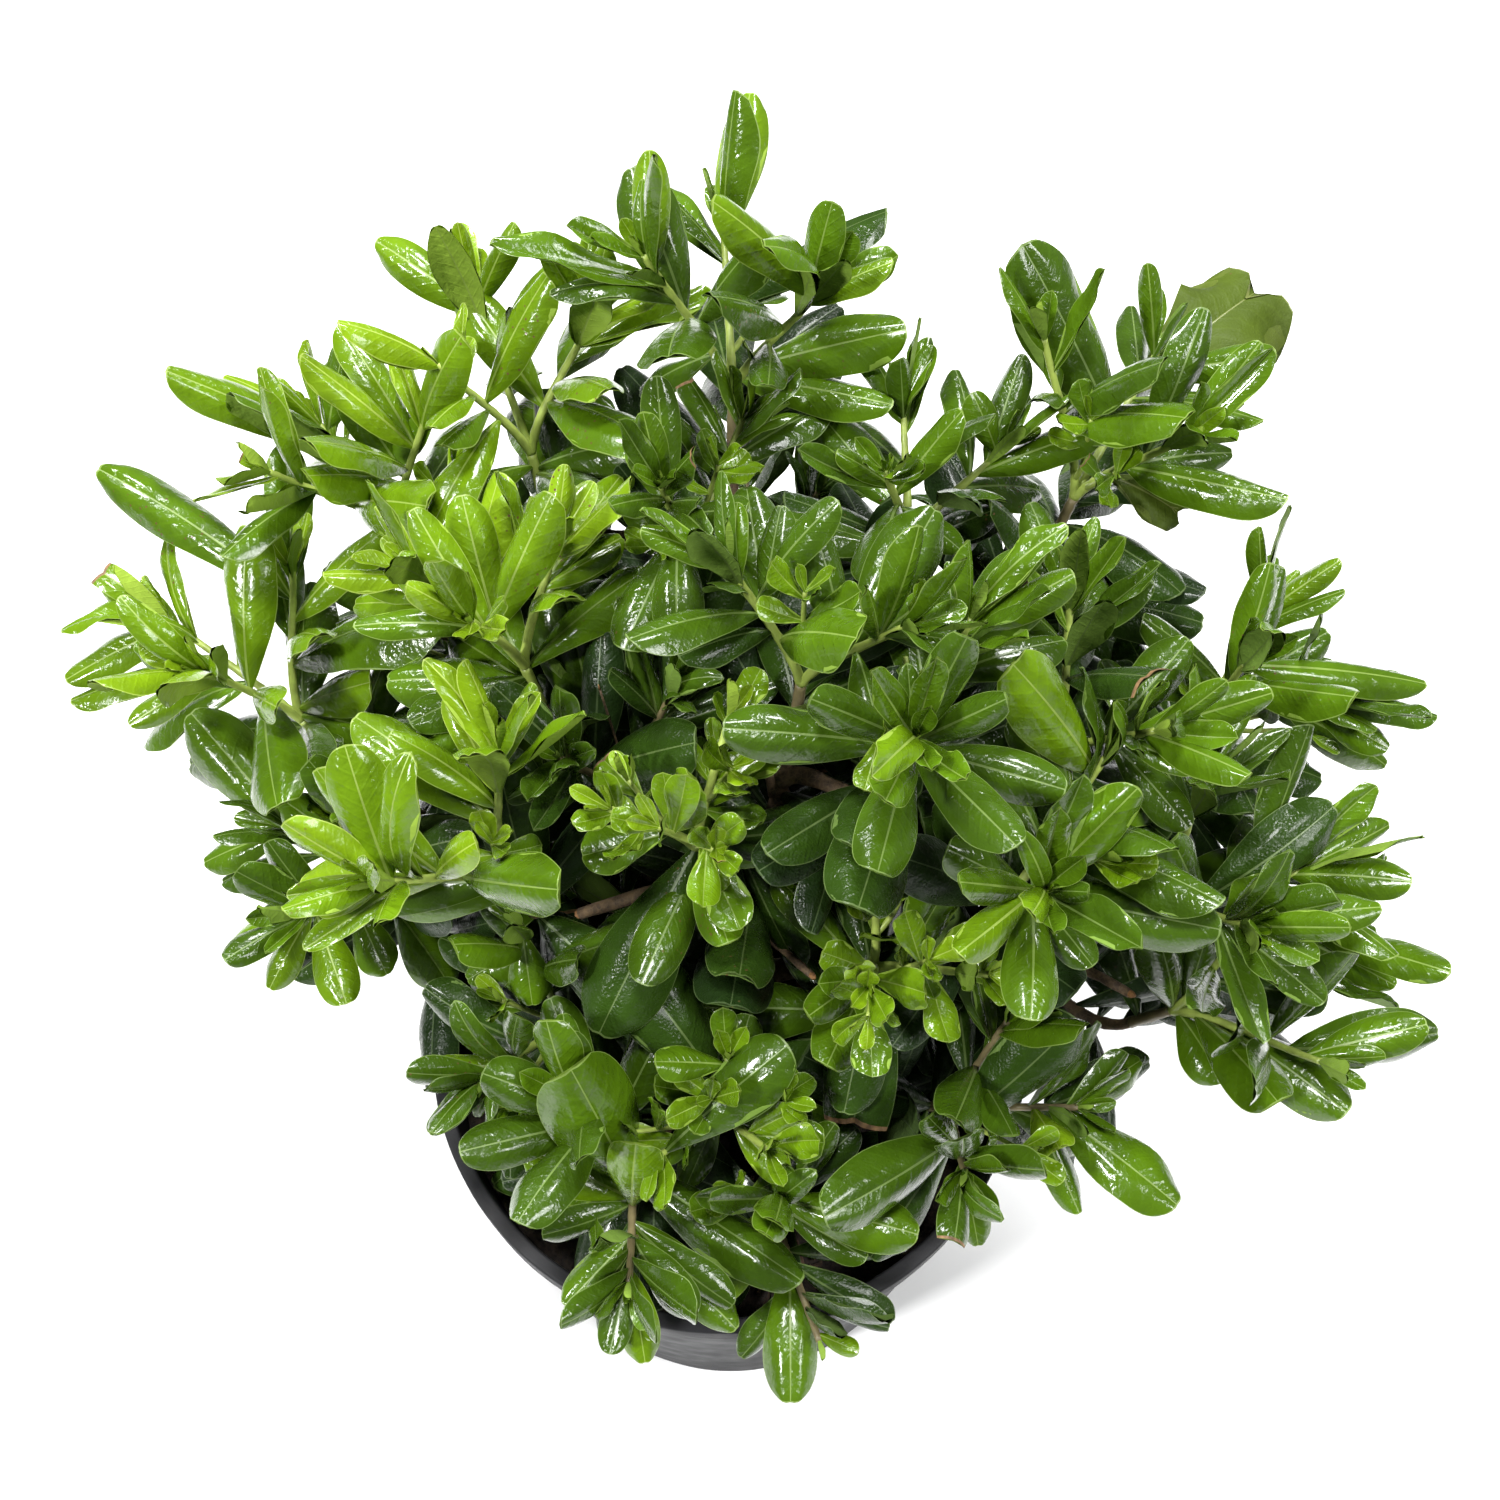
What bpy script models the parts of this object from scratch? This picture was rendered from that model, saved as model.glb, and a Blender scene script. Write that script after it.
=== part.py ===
"""A dwarf pittosporum shrub in the round nursery pot that it was grown in.

Metres, +Z up. The origin is the middle of the pot's flat underside, and -Y is the side that the shrub is seen
from. A short stem, hidden in the crown, carries tapering boughs. Each bough ends where it enters one mass of
foliage, whose twigs branch from one stem by a seeded rule and carry thick leaves in whorls.
"""

import math
import random
from collections import namedtuple

import bmesh
import bpy
from mathutils import Vector
from mathutils.bvhtree import BVHTree
from mathutils.kdtree import KDTree

PART_NAME = "PittosporumShrub"
GAP = 0.0003  # between neighbours that touch
UP = Vector((0, 0, 1))
GOLDEN_ANGLE = math.radians(137.5)  # between one leaf of a shoot and the next

# Pot
POT_HEIGHT = 0.240
RIM_RADIUS = 0.140
RIM_LIP = 0.007  # from the inner edge of the rim to its outer edge
RIM_BAND = 0.014  # how far the rim hangs down outside
POT_WALL = 0.0022
POT_FLOOR = 0.003
POT_TOP_RADIUS = 0.1352  # outside, just under the rim
POT_BASE_RADIUS = 0.123
BASE_CHAMFER = 0.003
RIM_ROUND = 0.0016  # how far the rim's upper edges are rounded
POT_STEPS = 36

# Potting mix
SOIL_TOP = 0.214
SOIL_EDGE_TOP = 0.208
SOIL_LEVEL_RADIUS = 0.035  # level round the trunk
SOIL_STEPS = 24

# Trunk
TRUNK_FOOT_RADIUS = 0.0125
TRUNK_TOP_RADIUS = 0.0095
FLARE = 0.0075  # that the roots add to the radius at the soil
FLARE_HEIGHT = 0.012
FLARE_LOBES = 4
LOBE_DEPTH = 0.35  # of the flare
TRUNK_TOP = Vector((0.004, 0.014, 0.278))
TRUNK_BOW = 0.004
TRUNK_SIDES = 12
TRUNK_RINGS = 6
LOWEST_BOUGH = 0.30  # share of the trunk's height

# Boughs
BOUGH_BASE_RADIUS = 0.0058
BOUGH_TIP_RADIUS = 0.0026
SIDE_BASE_RADIUS = 0.0036
SIDE_TIP_RADIUS = 0.0024
BOUGH_RISE = math.radians(38)  # above level, where a bough leaves the trunk
BOUGH_CURVE = 0.36  # how far a bough keeps its first and last direction, as a share of its span
BOUGH_POINTS = 5
SIDE_POINTS = 4
STRAIGHT_TIP = 0.004  # so that a bough's end faces its mass's stem squarely

# Foliage
CROWN_FOOT_Z = 0.24
LEAN_SHARE = 0.58  # a mass grows this much towards the line from the crown's foot, and else upright
STEM_LENGTH = 0.020  # of a mass, up to its fork
TWIG_RADIUS = 0.0026
TWIG_TIP_RADIUS = 0.0018
STEM_PAST_FORK, SHOOT_INTO_FORK = 0.002, 0.001  # so that stem and shoots overlap
FORK_ANGLE = math.radians(33)
SHOOT_BASE, SHOOT_PER_LEAF = 0.028, 0.58  # a shoot's length follows its leaves' length
SHOOT_LEAVES = {2: 8, 3: 6}  # on each shoot, by how many shoots its mass has
WHORL_LEAVES = 3  # old leaves under each fork
WHORL_GROWTH = 1.12  # their length beside the shoots' leaves
WHORL_SPREAD = math.radians(84)  # from the stem's own line
WHORL_TOP, WHORL_STEP = 0.12, 0.20  # places of the old leaves below the fork, as shares of the stem
BARE_SHARE, LAST_LEAF_SHARE = 0.40, 0.97  # of a shoot, up to its first leaf and to its last
LOWEST_LEAF, HIGHEST_LEAF = math.radians(74), math.radians(22)  # from the shoot's own line
TOP_LEAF_SHARE = 0.60  # length of a shoot's last leaf beside its first
LEAF_WIDTH = 0.40  # of its length
LEAF_THICKNESS = 0.030  # of its length, at its thickest
TOUCH = 0.0005  # how near a leaf may come to another mass, a limb or the pot
FREE_FROM = 0.30  # share of a leaf's length past which it stays clear of its own mass too

# Outline of a leaf: share of its length, share of its half width, and rise beside its length
LEAF_OUTLINE = ((0.60, 1.0, 0.035), (0.95, 0.42, -0.03), (0.95, -0.42, -0.03), (0.60, -1.0, 0.035))
LEAF_CREST = 0.20  # where it is thickest
LEAF_HEART = 0.55  # the share of a leaf's length whose place says which mass's space it is in

Mass = namedtuple("Mass", "name carrier share azimuth reach height shoots spin leaf tint")
# Each mass hangs on a bough that leaves its carrier at a share of the carrier's length. Azimuth in degrees from +X,
# reach from the pot's axis and height give the middle of its shoots' tips. The first shoot points away from the axis
# and is turned by spin. The last two are the length of its leaves and their tint.
MASSES = (
    Mass("centre_high", "trunk", 1.00, 65, 0.082, 0.492, 2, 90, 0.060, "mid"),
    Mass("back_top", "trunk", 0.95, 89, 0.228, 0.508, 3, 0, 0.078, "mid"),
    Mass("front_left", "trunk", 0.55, 242, 0.106, 0.322, 2, 40, 0.064, "mid"),
    Mass("right", "trunk", 0.75, 5, 0.212, 0.392, 3, 0, 0.068, "mid"),
    Mass("left_far", "trunk", 0.80, 150, 0.260, 0.382, 3, 10, 0.072, "bright"),
    Mass("front_right", "trunk", 0.40, 331, 0.138, 0.328, 3, 20, 0.066, "mid"),
    Mass("far_right_high", "trunk", 0.90, 49, 0.258, 0.472, 3, 0, 0.074, "mid"),
    Mass("far_left_high", "trunk", 0.85, 129, 0.268, 0.430, 3, 0, 0.070, "bright"),
    Mass("back_left", "back_top", 0.62, 113, 0.248, 0.462, 3, 0, 0.066, "bright"),
    Mass("back_right", "back_top", 0.50, 63, 0.192, 0.462, 3, 60, 0.058, "mid"),
    Mass("back_low", "back_top", 0.35, 88, 0.240, 0.350, 3, 0, 0.066, "deep"),
    Mass("right_high", "far_right_high", 0.50, 25, 0.262, 0.392, 3, 60, 0.068, "mid"),
    Mass("back_right_low", "far_right_high", 0.35, 56, 0.245, 0.335, 3, 60, 0.064, "deep"),
    Mass("right_mid", "right", 0.45, 25, 0.172, 0.436, 2, 90, 0.062, "mid"),
    Mass("right_near", "right", 0.60, 0, 0.131, 0.438, 2, 60, 0.066, "mid"),
    Mass("right_low", "right", 0.50, 356, 0.234, 0.343, 3, 40, 0.074, "mid"),
    Mass("centre_right", "front_right", 0.45, 345, 0.074, 0.395, 3, 0, 0.040, "bright"),
    Mass("front", "front_right", 0.35, 283, 0.122, 0.286, 2, 0, 0.058, "mid"),
    Mass("front_centre", "front_left", 0.40, 268, 0.074, 0.335, 3, 60, 0.036, "bright"),
    Mass("left_front", "front_left", 0.50, 196, 0.092, 0.337, 2, 60, 0.054, "mid"),
    Mass("left", "left_far", 0.45, 168, 0.182, 0.345, 3, 100, 0.058, "mid"),
    Mass("left_near", "left_far", 0.35, 171, 0.107, 0.425, 2, 60, 0.066, "bright"),
    Mass("centre_left", "far_left_high", 0.50, 131, 0.142, 0.458, 3, 20, 0.060, "bright"),
    Mass("back_left_low", "far_left_high", 0.40, 124, 0.225, 0.335, 3, 0, 0.064, "deep"),
    Mass("centre_back", "centre_high", 0.60, 96, 0.148, 0.476, 2, 150, 0.054, "mid"),
    Mass("centre", "centre_high", 0.50, 120, 0.024, 0.440, 3, 60, 0.046, "bright"),
    Mass("centre_deep", "centre_high", 0.35, 125, 0.092, 0.405, 3, 0, 0.062, "deep"),
    Mass("centre_high_right", "centre_high", 0.65, 28, 0.088, 0.486, 2, 30, 0.064, "mid"),
)

Limb = namedtuple("Limb", "points radii")
Twig = namedtuple("Twig", "foot tip foot_radius tip_radius")
Leaf = namedtuple("Leaf", "root along normal length")
Placed = namedtuple("Placed", "owner low high tree blade_tree")

COLOURS = {  # base colour, roughness
    "pot": ((0.022, 0.023, 0.025), 0.45),
    "soil": ((0.035, 0.021, 0.013), 0.95),
    "bark": ((0.17, 0.115, 0.072), 0.85),
    "bright": ((0.20, 0.40, 0.045), 0.30),
    "mid": ((0.085, 0.26, 0.028), 0.28),
    "deep": ((0.028, 0.105, 0.018), 0.30),
}


def remove_all_objects():
    for thing in list(bpy.data.objects):
        bpy.data.objects.remove(thing, do_unlink=True)


def collection_named(name):
    collection = bpy.data.collections.new(name)
    bpy.context.scene.collection.children.link(collection)
    return collection


def material_named(name):
    """The material of one kind of surface, made the first time that it is asked for."""
    if name in bpy.data.materials:
        return bpy.data.materials[name]
    colour, roughness = COLOURS[name]
    material = bpy.data.materials.new(name)
    material.use_nodes = True
    shader = material.node_tree.nodes["Principled BSDF"]
    shader.inputs["Base Color"].default_value = (*colour, 1)
    shader.inputs["Roughness"].default_value = roughness
    shader.inputs["Metallic"].default_value = 0
    return material


def add_object(name, data, collection, material=None):
    thing = bpy.data.objects.new(name, data)
    collection.objects.link(thing)
    if material:
        data.materials.append(material_named(material))
    return thing


def apply_modifiers(thing):
    """The object's mesh as its modifiers leave it, in place of its own mesh."""
    graph = bpy.context.evaluated_depsgraph_get()
    mesh = bpy.data.meshes.new_from_object(thing.evaluated_get(graph))
    plain = thing.data
    thing.modifiers.clear()
    thing.data = mesh
    bpy.data.meshes.remove(plain)


def keep_largest_body(mesh):
    """Drops loose scraps, and the inner skin of any hollow that a union has sealed."""
    bm = bmesh.new()
    bm.from_mesh(mesh)
    bodies, seen = [], set()
    for first in bm.verts:
        if first in seen:
            continue
        body, waiting = [], [first]
        seen.add(first)
        while waiting:
            vertex = waiting.pop()
            body.append(vertex)
            for edge in vertex.link_edges:
                other = edge.other_vert(vertex)
                if other not in seen:
                    seen.add(other)
                    waiting.append(other)
        bodies.append(body)
    largest = max(bodies, key=len)
    bmesh.ops.delete(bm, geom=[v for body in bodies if body is not largest for v in body], context="VERTS")
    bm.to_mesh(mesh)
    bm.free()


def turned(name, profile, steps, collection, material):
    """A solid turned from a profile of (radius, height) that runs down its outer side."""
    mesh = bpy.data.meshes.new(name)
    mesh.from_pydata([(radius, 0, z) for radius, z in profile], [(i, i + 1) for i in range(len(profile) - 1)], [])
    thing = add_object(name, mesh, collection, material)
    screw = thing.modifiers.new("Turn", "SCREW")
    screw.steps = screw.render_steps = steps
    screw.use_merge_vertices = True
    screw.merge_threshold = 0.00005
    screw.use_smooth_shade = True
    return thing


def pot_outer_radius(z):
    """Outside of the pot's tapering wall."""
    return POT_BASE_RADIUS + (POT_TOP_RADIUS - POT_BASE_RADIUS) * z / (POT_HEIGHT - RIM_BAND)


def make_pot(collection):
    inner_top = RIM_RADIUS - RIM_LIP
    band_foot = POT_HEIGHT - RIM_BAND
    profile = (
        (0, POT_FLOOR),
        (pot_outer_radius(POT_FLOOR) - POT_WALL, POT_FLOOR),
        (inner_top, POT_HEIGHT - RIM_ROUND),
        (inner_top + RIM_ROUND, POT_HEIGHT),
        (RIM_RADIUS - RIM_ROUND, POT_HEIGHT),
        (RIM_RADIUS, POT_HEIGHT - RIM_ROUND),
        (RIM_RADIUS, band_foot),
        (pot_outer_radius(band_foot), band_foot),
        (pot_outer_radius(BASE_CHAMFER), BASE_CHAMFER),
        (POT_BASE_RADIUS - BASE_CHAMFER, 0),
        (0, 0),
    )
    return turned("pot", profile, POT_STEPS, collection, "pot")


def make_soil(collection):
    def inner_radius(z):
        """Inside of the pot's wall, which is straight from its floor to its rim."""
        low = pot_outer_radius(POT_FLOOR) - POT_WALL
        high = RIM_RADIUS - RIM_LIP
        return low + (high - low) * (z - POT_FLOOR) / (POT_HEIGHT - POT_FLOOR)

    floor = POT_FLOOR + GAP
    clear = 2 * GAP  # the pot's flats lie a little inside its round profile
    profile = (
        (0, SOIL_TOP),
        (SOIL_LEVEL_RADIUS, SOIL_TOP),
        (inner_radius(SOIL_EDGE_TOP) - clear, SOIL_EDGE_TOP),
        (inner_radius(floor) - clear, floor),
        (0, floor),
    )
    return turned("soil", profile, SOIL_STEPS, collection, "soil")


def trunk_point(share):
    """Middle of the trunk at a share of its height, on a bowed line that leans to its top."""
    foot = Vector((0, 0, SOIL_TOP + GAP))
    return foot.lerp(TRUNK_TOP, share) + Vector((TRUNK_BOW * math.sin(math.pi * share), 0, 0))


def trunk_radius(share, angle):
    """Taper, with a lobed flare of the roots near the soil."""
    height = share * (TRUNK_TOP.z - SOIL_TOP)
    flare = FLARE * math.exp(-height / FLARE_HEIGHT) * (1 + LOBE_DEPTH * math.cos(FLARE_LOBES * angle))
    return TRUNK_FOOT_RADIUS + (TRUNK_TOP_RADIUS - TRUNK_FOOT_RADIUS) * share + flare


def trunk_mesh(name, swell=0.0):
    """A loft of the trunk's rings, each level, grown by swell on every side."""
    bm = bmesh.new()
    rings = []
    for ring in range(TRUNK_RINGS + 1):
        share = (ring / TRUNK_RINGS) ** 1.5
        middle = trunk_point(share)
        if ring in (0, TRUNK_RINGS):
            middle = middle + UP * (swell if ring else -swell)
        angles = [math.tau * side / TRUNK_SIDES for side in range(TRUNK_SIDES)]
        rings.append(
            [
                bm.verts.new(middle + Vector((math.cos(a), math.sin(a), 0)) * (trunk_radius(share, a) + swell))
                for a in angles
            ]
        )
    for lower, upper in zip(rings, rings[1:]):
        for side in range(TRUNK_SIDES):
            after = (side + 1) % TRUNK_SIDES
            bm.faces.new((lower[side], lower[after], upper[after], upper[side]))
    bm.faces.new(rings[-1])
    bm.faces.new(reversed(rings[0]))
    mesh = bpy.data.meshes.new(name)
    bm.to_mesh(mesh)
    bm.free()
    return mesh


def outward(mass):
    angle = math.radians(mass.azimuth)
    return Vector((math.cos(angle), math.sin(angle), 0))


def heading(mass):
    """Direction in which a mass grows: upright in the middle of the crown, spreading at its sides."""
    lean = LEAN_SHARE * math.atan2(mass.reach, mass.height - CROWN_FOOT_Z)
    return outward(mass) * math.sin(lean) + UP * math.cos(lean)


def shoot_length(mass):
    return SHOOT_BASE + SHOOT_PER_LEAF * mass.leaf


def fork_of(mass):
    """Where a mass's stem forks into its shoots."""
    tips = outward(mass) * mass.reach + UP * mass.height
    return tips - heading(mass) * shoot_length(mass) * math.cos(FORK_ANGLE)


def stem_foot(mass):
    return fork_of(mass) - heading(mass) * STEM_LENGTH


def limb_of(mass, carriers):
    """Middle line and radii of the bough that ends at a mass, on one curve from inside its carrier."""
    end = stem_foot(mass) - heading(mass) * GAP
    if mass.carrier == "trunk":
        start = trunk_point(LOWEST_BOUGH + (1 - LOWEST_BOUGH) * mass.share)
        leaves = outward(mass) * math.cos(BOUGH_RISE) + UP * math.sin(BOUGH_RISE)
        if mass.share == 1:
            start, leaves = TRUNK_TOP - UP * BOUGH_BASE_RADIUS, UP
        count, thick, thin = BOUGH_POINTS, BOUGH_BASE_RADIUS, BOUGH_TIP_RADIUS
    else:
        line = carriers[mass.carrier].points
        place = mass.share * (len(line) - 1)
        before = int(place)
        start = line[before].lerp(line[before + 1], place - before)
        leaves = (line[before + 1] - line[before]).normalized() + (end - start).normalized()
        leaves.normalize()
        count, thick, thin = SIDE_POINTS, SIDE_BASE_RADIUS, SIDE_TIP_RADIUS
    bend = end - heading(mass) * STRAIGHT_TIP
    span = (bend - start).length * BOUGH_CURVE
    first, last = start + leaves * span, bend - heading(mass) * span
    points, radii = [], []
    for i in range(count):
        t = i / (count - 1)
        u = 1 - t
        points.append(start * u**3 + first * 3 * u * u * t + last * 3 * u * t * t + bend * t**3)
        radii.append(thick + (thin - thick) * t)
    return Limb(points + [end], radii + [thin])


def limb_mesh(name, limb, swell=0.0):
    """A tapering round limb, grown by swell, from a bevelled curve made a mesh."""
    curve = bpy.data.curves.new(name, "CURVE")
    curve.dimensions = "3D"
    curve.bevel_depth = 1.0
    curve.bevel_resolution = 1
    curve.use_fill_caps = True
    spline = curve.splines.new("POLY")
    spline.points.add(len(limb.points) - 1)
    for place, point, radius in zip(spline.points, limb.points, limb.radii):
        place.co = (*point, 1)
        place.radius = radius + swell
    thing = bpy.data.objects.new(name, curve)
    bpy.context.scene.collection.objects.link(thing)
    graph = bpy.context.evaluated_depsgraph_get()
    mesh = bpy.data.meshes.new_from_object(thing.evaluated_get(graph))
    bpy.data.objects.remove(thing)
    bpy.data.curves.remove(curve)
    bm = bmesh.new()
    bm.from_mesh(mesh)
    bmesh.ops.remove_doubles(bm, verts=bm.verts, dist=0.00001)
    bm.to_mesh(mesh)
    bm.free()
    return mesh


def tree_of(mesh):
    return BVHTree.FromPolygons([v.co for v in mesh.vertices], [p.vertices for p in mesh.polygons])


def cut_clear(thing, cutter_mesh):
    """Cuts a limb back to where it leaves the grown shape of a neighbour."""
    cutter = bpy.data.objects.new("cutter", cutter_mesh)
    cutter.hide_render = True
    cutter.display_type = "WIRE"
    bpy.context.scene.collection.objects.link(cutter)
    cut = thing.modifiers.new("Clear", "BOOLEAN")
    cut.operation = "DIFFERENCE"
    cut.object = cutter
    apply_modifiers(thing)
    keep_largest_body(thing.data)
    bpy.data.objects.remove(cutter)


def make_limbs(collection):
    """The trunk and its boughs, each cut 0.3 mm clear of those before it, and the limbs' lines by mass."""
    trunk = add_object("trunk", trunk_mesh("trunk"), collection, "bark")
    grown = [trunk_mesh("grown_trunk", GAP)]
    limbs, things = {}, [trunk]
    for mass in MASSES:
        limb = limb_of(mass, limbs)
        limbs[mass.name] = limb
        name = f"bough_{mass.name}"
        thing = add_object(name, limb_mesh(name, limb), collection, "bark")
        for other in grown:
            if tree_of(thing.data).overlap(tree_of(other)):
                cut_clear(thing, other)
        grown.append(limb_mesh("grown_" + name, limb, GAP))
        things.append(thing)
    for thing in things:
        thing.data.shade_smooth()
        thing.data.set_sharp_from_angle(angle=math.radians(50))
    for mesh in grown:
        bpy.data.meshes.remove(mesh)
    return limbs, things


def across(direction, towards):
    """Unit vector at right angles to direction, on the side of another vector."""
    return (towards - direction * towards.dot(direction)).normalized()


def twigs_and_leaves(mass):
    """A mass's stem, and its shoots each with the leaves that it carries; the first entry carries the old whorl."""
    draw = random.Random(mass.name)
    grows = heading(mass)
    fork = fork_of(mass)
    side = across(grows, outward(mass))
    other_side = grows.cross(side)

    whorl = []
    turn = draw.uniform(0, math.tau)
    for i in range(WHORL_LEAVES):
        angle = turn + math.tau * i / WHORL_LEAVES + draw.uniform(-0.3, 0.3)
        spread = WHORL_SPREAD + draw.uniform(-0.12, 0.12)
        round_it = side * math.cos(angle) + other_side * math.sin(angle)
        along = grows * math.cos(spread) + round_it * math.sin(spread)
        root = fork - grows * STEM_LENGTH * (WHORL_TOP + WHORL_STEP * i)
        whorl.append(
            Leaf(root, along, across(along, grows), mass.leaf * WHORL_GROWTH * draw.uniform(0.9, 1.1))
        )
    stem = Twig(stem_foot(mass), fork + grows * STEM_PAST_FORK, TWIG_RADIUS, TWIG_RADIUS)
    groups = [(stem, whorl)]

    for number in range(mass.shoots):
        turn = math.radians(mass.spin) + math.tau * number / mass.shoots + draw.uniform(-0.25, 0.25)
        opening = FORK_ANGLE + draw.uniform(-0.10, 0.10)
        round_it = side * math.cos(turn) + other_side * math.sin(turn)
        along = grows * math.cos(opening) + round_it * math.sin(opening)
        length = shoot_length(mass) * draw.uniform(0.88, 1.10)
        shoot = Twig(fork - along * SHOOT_INTO_FORK, fork + along * length, TWIG_RADIUS, TWIG_TIP_RADIUS)
        first = across(along, UP)
        second = along.cross(first)
        start = draw.uniform(0, math.tau)
        leaves = []
        count = SHOOT_LEAVES[mass.shoots]
        for i in range(count):
            t = i / (count - 1)
            angle = start + GOLDEN_ANGLE * i
            spread = LOWEST_LEAF + (HIGHEST_LEAF - LOWEST_LEAF) * t + draw.uniform(-0.12, 0.12)
            round_leaf = first * math.cos(angle) + second * math.sin(angle)
            leaf_along = along * math.cos(spread) + round_leaf * math.sin(spread)
            place = BARE_SHARE + (LAST_LEAF_SHARE - BARE_SHARE) * t**0.8
            leaf_length = mass.leaf * (1 + (TOP_LEAF_SHARE - 1) * t) * draw.uniform(0.88, 1.12)
            leaves.append(Leaf(fork + along * length * place, leaf_along, across(leaf_along, along), leaf_length))
        groups.append((shoot, leaves))
    return groups


def twig_mesh(twig, swell=0.0):
    """A three-sided tapering twig."""
    line = twig.tip - twig.foot
    turn = UP.rotation_difference(line).to_matrix().to_4x4()
    turn.translation = (twig.foot + twig.tip) / 2
    bm = bmesh.new()
    bmesh.ops.create_cone(
        bm,
        cap_ends=True,
        segments=3,
        radius1=twig.foot_radius + swell,
        radius2=twig.tip_radius + swell,
        depth=line.length + swell,
        matrix=turn,
    )
    mesh = bpy.data.meshes.new("twig")
    bm.to_mesh(mesh)
    bm.free()
    return mesh


def leaf_outline(leaf, swell=0.0, root_share=0.0):
    """A leaf's root, in the middle of its twig, and the points round its blade, rolled down at the tip."""
    side = leaf.along.cross(leaf.normal)
    half = leaf.length * LEAF_WIDTH / 2 + swell
    points = [leaf.root + leaf.along * leaf.length * root_share]
    for share, width, rise in LEAF_OUTLINE:
        along = leaf.along * (leaf.length * share + swell)
        points.append(leaf.root + along + side * half * width + leaf.normal * leaf.length * rise)
    return points


def leaf_mesh(leaf, swell=0.0, root_share=0.0):
    """A thick blade: its outline, joined to one crest above and one below."""
    bm = bmesh.new()
    rim = [bm.verts.new(point) for point in leaf_outline(leaf, swell, root_share)]
    middle = leaf.root + leaf.along * leaf.length * max(LEAF_CREST, root_share + 0.1)
    half_thickness = leaf.normal * (leaf.length * LEAF_THICKNESS / 2 + swell)
    top = bm.verts.new(middle + half_thickness)
    bottom = bm.verts.new(middle - half_thickness)
    for here, there in zip(rim, rim[1:] + rim[:1]):
        bm.faces.new((top, there, here))
        bm.faces.new((bottom, here, there))
    bmesh.ops.recalc_face_normals(bm, faces=bm.faces)
    mesh = bpy.data.meshes.new("leaf")
    bm.to_mesh(mesh)
    bm.free()
    return mesh


def space_tree(growth):
    """Points along every mass's twigs. A place belongs to the mass whose point is nearest."""
    owned = [
        (twig.foot.lerp(twig.tip, share), name)
        for name, groups in growth.items()
        for twig, _ in groups
        for share in (0.25, 0.5, 0.75, 1.0)
    ]
    tree = KDTree(len(owned))
    for index, (point, _) in enumerate(owned):
        tree.insert(point, index)
    tree.balance()
    return tree, [name for _, name in owned]


def clear_of_pot(point):
    """True outside the pot and its rim, or above the soil inside it."""
    reach = math.hypot(point.x, point.y)
    if point.z > POT_HEIGHT + TOUCH:
        return True
    if reach < RIM_RADIUS - RIM_LIP - 2 * TOUCH:
        return point.z > SOIL_TOP + TOUCH
    return reach > RIM_RADIUS + TOUCH


def keeps_to_space(leaf, name, tree, owners):
    """True if the heart of a leaf lies in its own mass's space, and all of its outline clear of the pot."""
    heart = leaf.root + leaf.along * leaf.length * LEAF_HEART
    outline = leaf_outline(leaf)
    outline += [here.lerp(there, 0.5) for here, there in zip(outline, outline[1:])]
    return owners[tree.find(heart)[1]] == name and all(clear_of_pot(point) for point in outline)


def placed(owner, mesh, blade=None):
    """A shape that is in place, to test others against; blade is a leaf without its root."""
    points = [v.co for v in mesh.vertices]
    low = Vector([min(p[axis] for p in points) for axis in range(3)])
    high = Vector([max(p[axis] for p in points) for axis in range(3)])
    return Placed(owner, low, high, tree_of(mesh), tree_of(blade) if blade else None)


def touches(shape, others):
    """True if a shape meets one of another owner, or if a leaf's blade meets its own mass."""
    for other in others:
        if any(shape.low[i] > other.high[i] or other.low[i] > shape.high[i] for i in range(3)):
            continue
        if other.owner != shape.owner:
            met = shape.tree.overlap(other.tree)
        else:
            met = shape.blade_tree and shape.blade_tree.overlap(other.blade_tree or other.tree)
        if met:
            return True
    return False


def make_masses(collection, limb_things):
    """Each mass of foliage: its stem with the twigs and leaves that keep clear, joined into one body."""
    growth = {mass.name: twigs_and_leaves(mass) for mass in MASSES}
    tree, owners = space_tree(growth)
    in_place = [placed(thing.name, thing.data) for thing in limb_things]
    kept = {mass.name: [] for mass in MASSES}

    def keep(name, solid, grown, blade=None):
        shape = placed(name, grown, blade)
        if touches(shape, in_place):
            return False
        in_place.append(shape)
        kept[name].append(solid)
        return True

    carried = []
    for name, groups in growth.items():
        for twig, leaves in groups:
            if keep(name, twig_mesh(twig), twig_mesh(twig, 0 if twig is groups[0][0] else TOUCH)):
                carried.append((name, leaves))
    for name, leaves in carried:
        for leaf in leaves:
            if keeps_to_space(leaf, name, tree, owners):
                keep(name, leaf_mesh(leaf), leaf_mesh(leaf, TOUCH), leaf_mesh(leaf, 0, FREE_FROM))

    for mass in MASSES:
        stem, *rest = kept[mass.name]
        thing = add_object(f"foliage_{mass.name}", stem, collection, mass.tint)
        bits = collection_named("bits")
        for mesh in rest:
            add_object("bit", mesh, bits)
        join = thing.modifiers.new("Join", "BOOLEAN")
        join.operation = "UNION"
        join.operand_type = "COLLECTION"
        join.collection = bits
        join.solver = "EXACT"
        apply_modifiers(thing)
        keep_largest_body(thing.data)
        for bit in list(bits.objects):
            bpy.data.objects.remove(bit)
        bpy.data.collections.remove(bits)


def main():
    remove_all_objects()
    collection = collection_named(PART_NAME)
    make_pot(collection)
    make_soil(collection)
    _, limb_things = make_limbs(collection)
    make_masses(collection, limb_things)


main()
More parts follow.
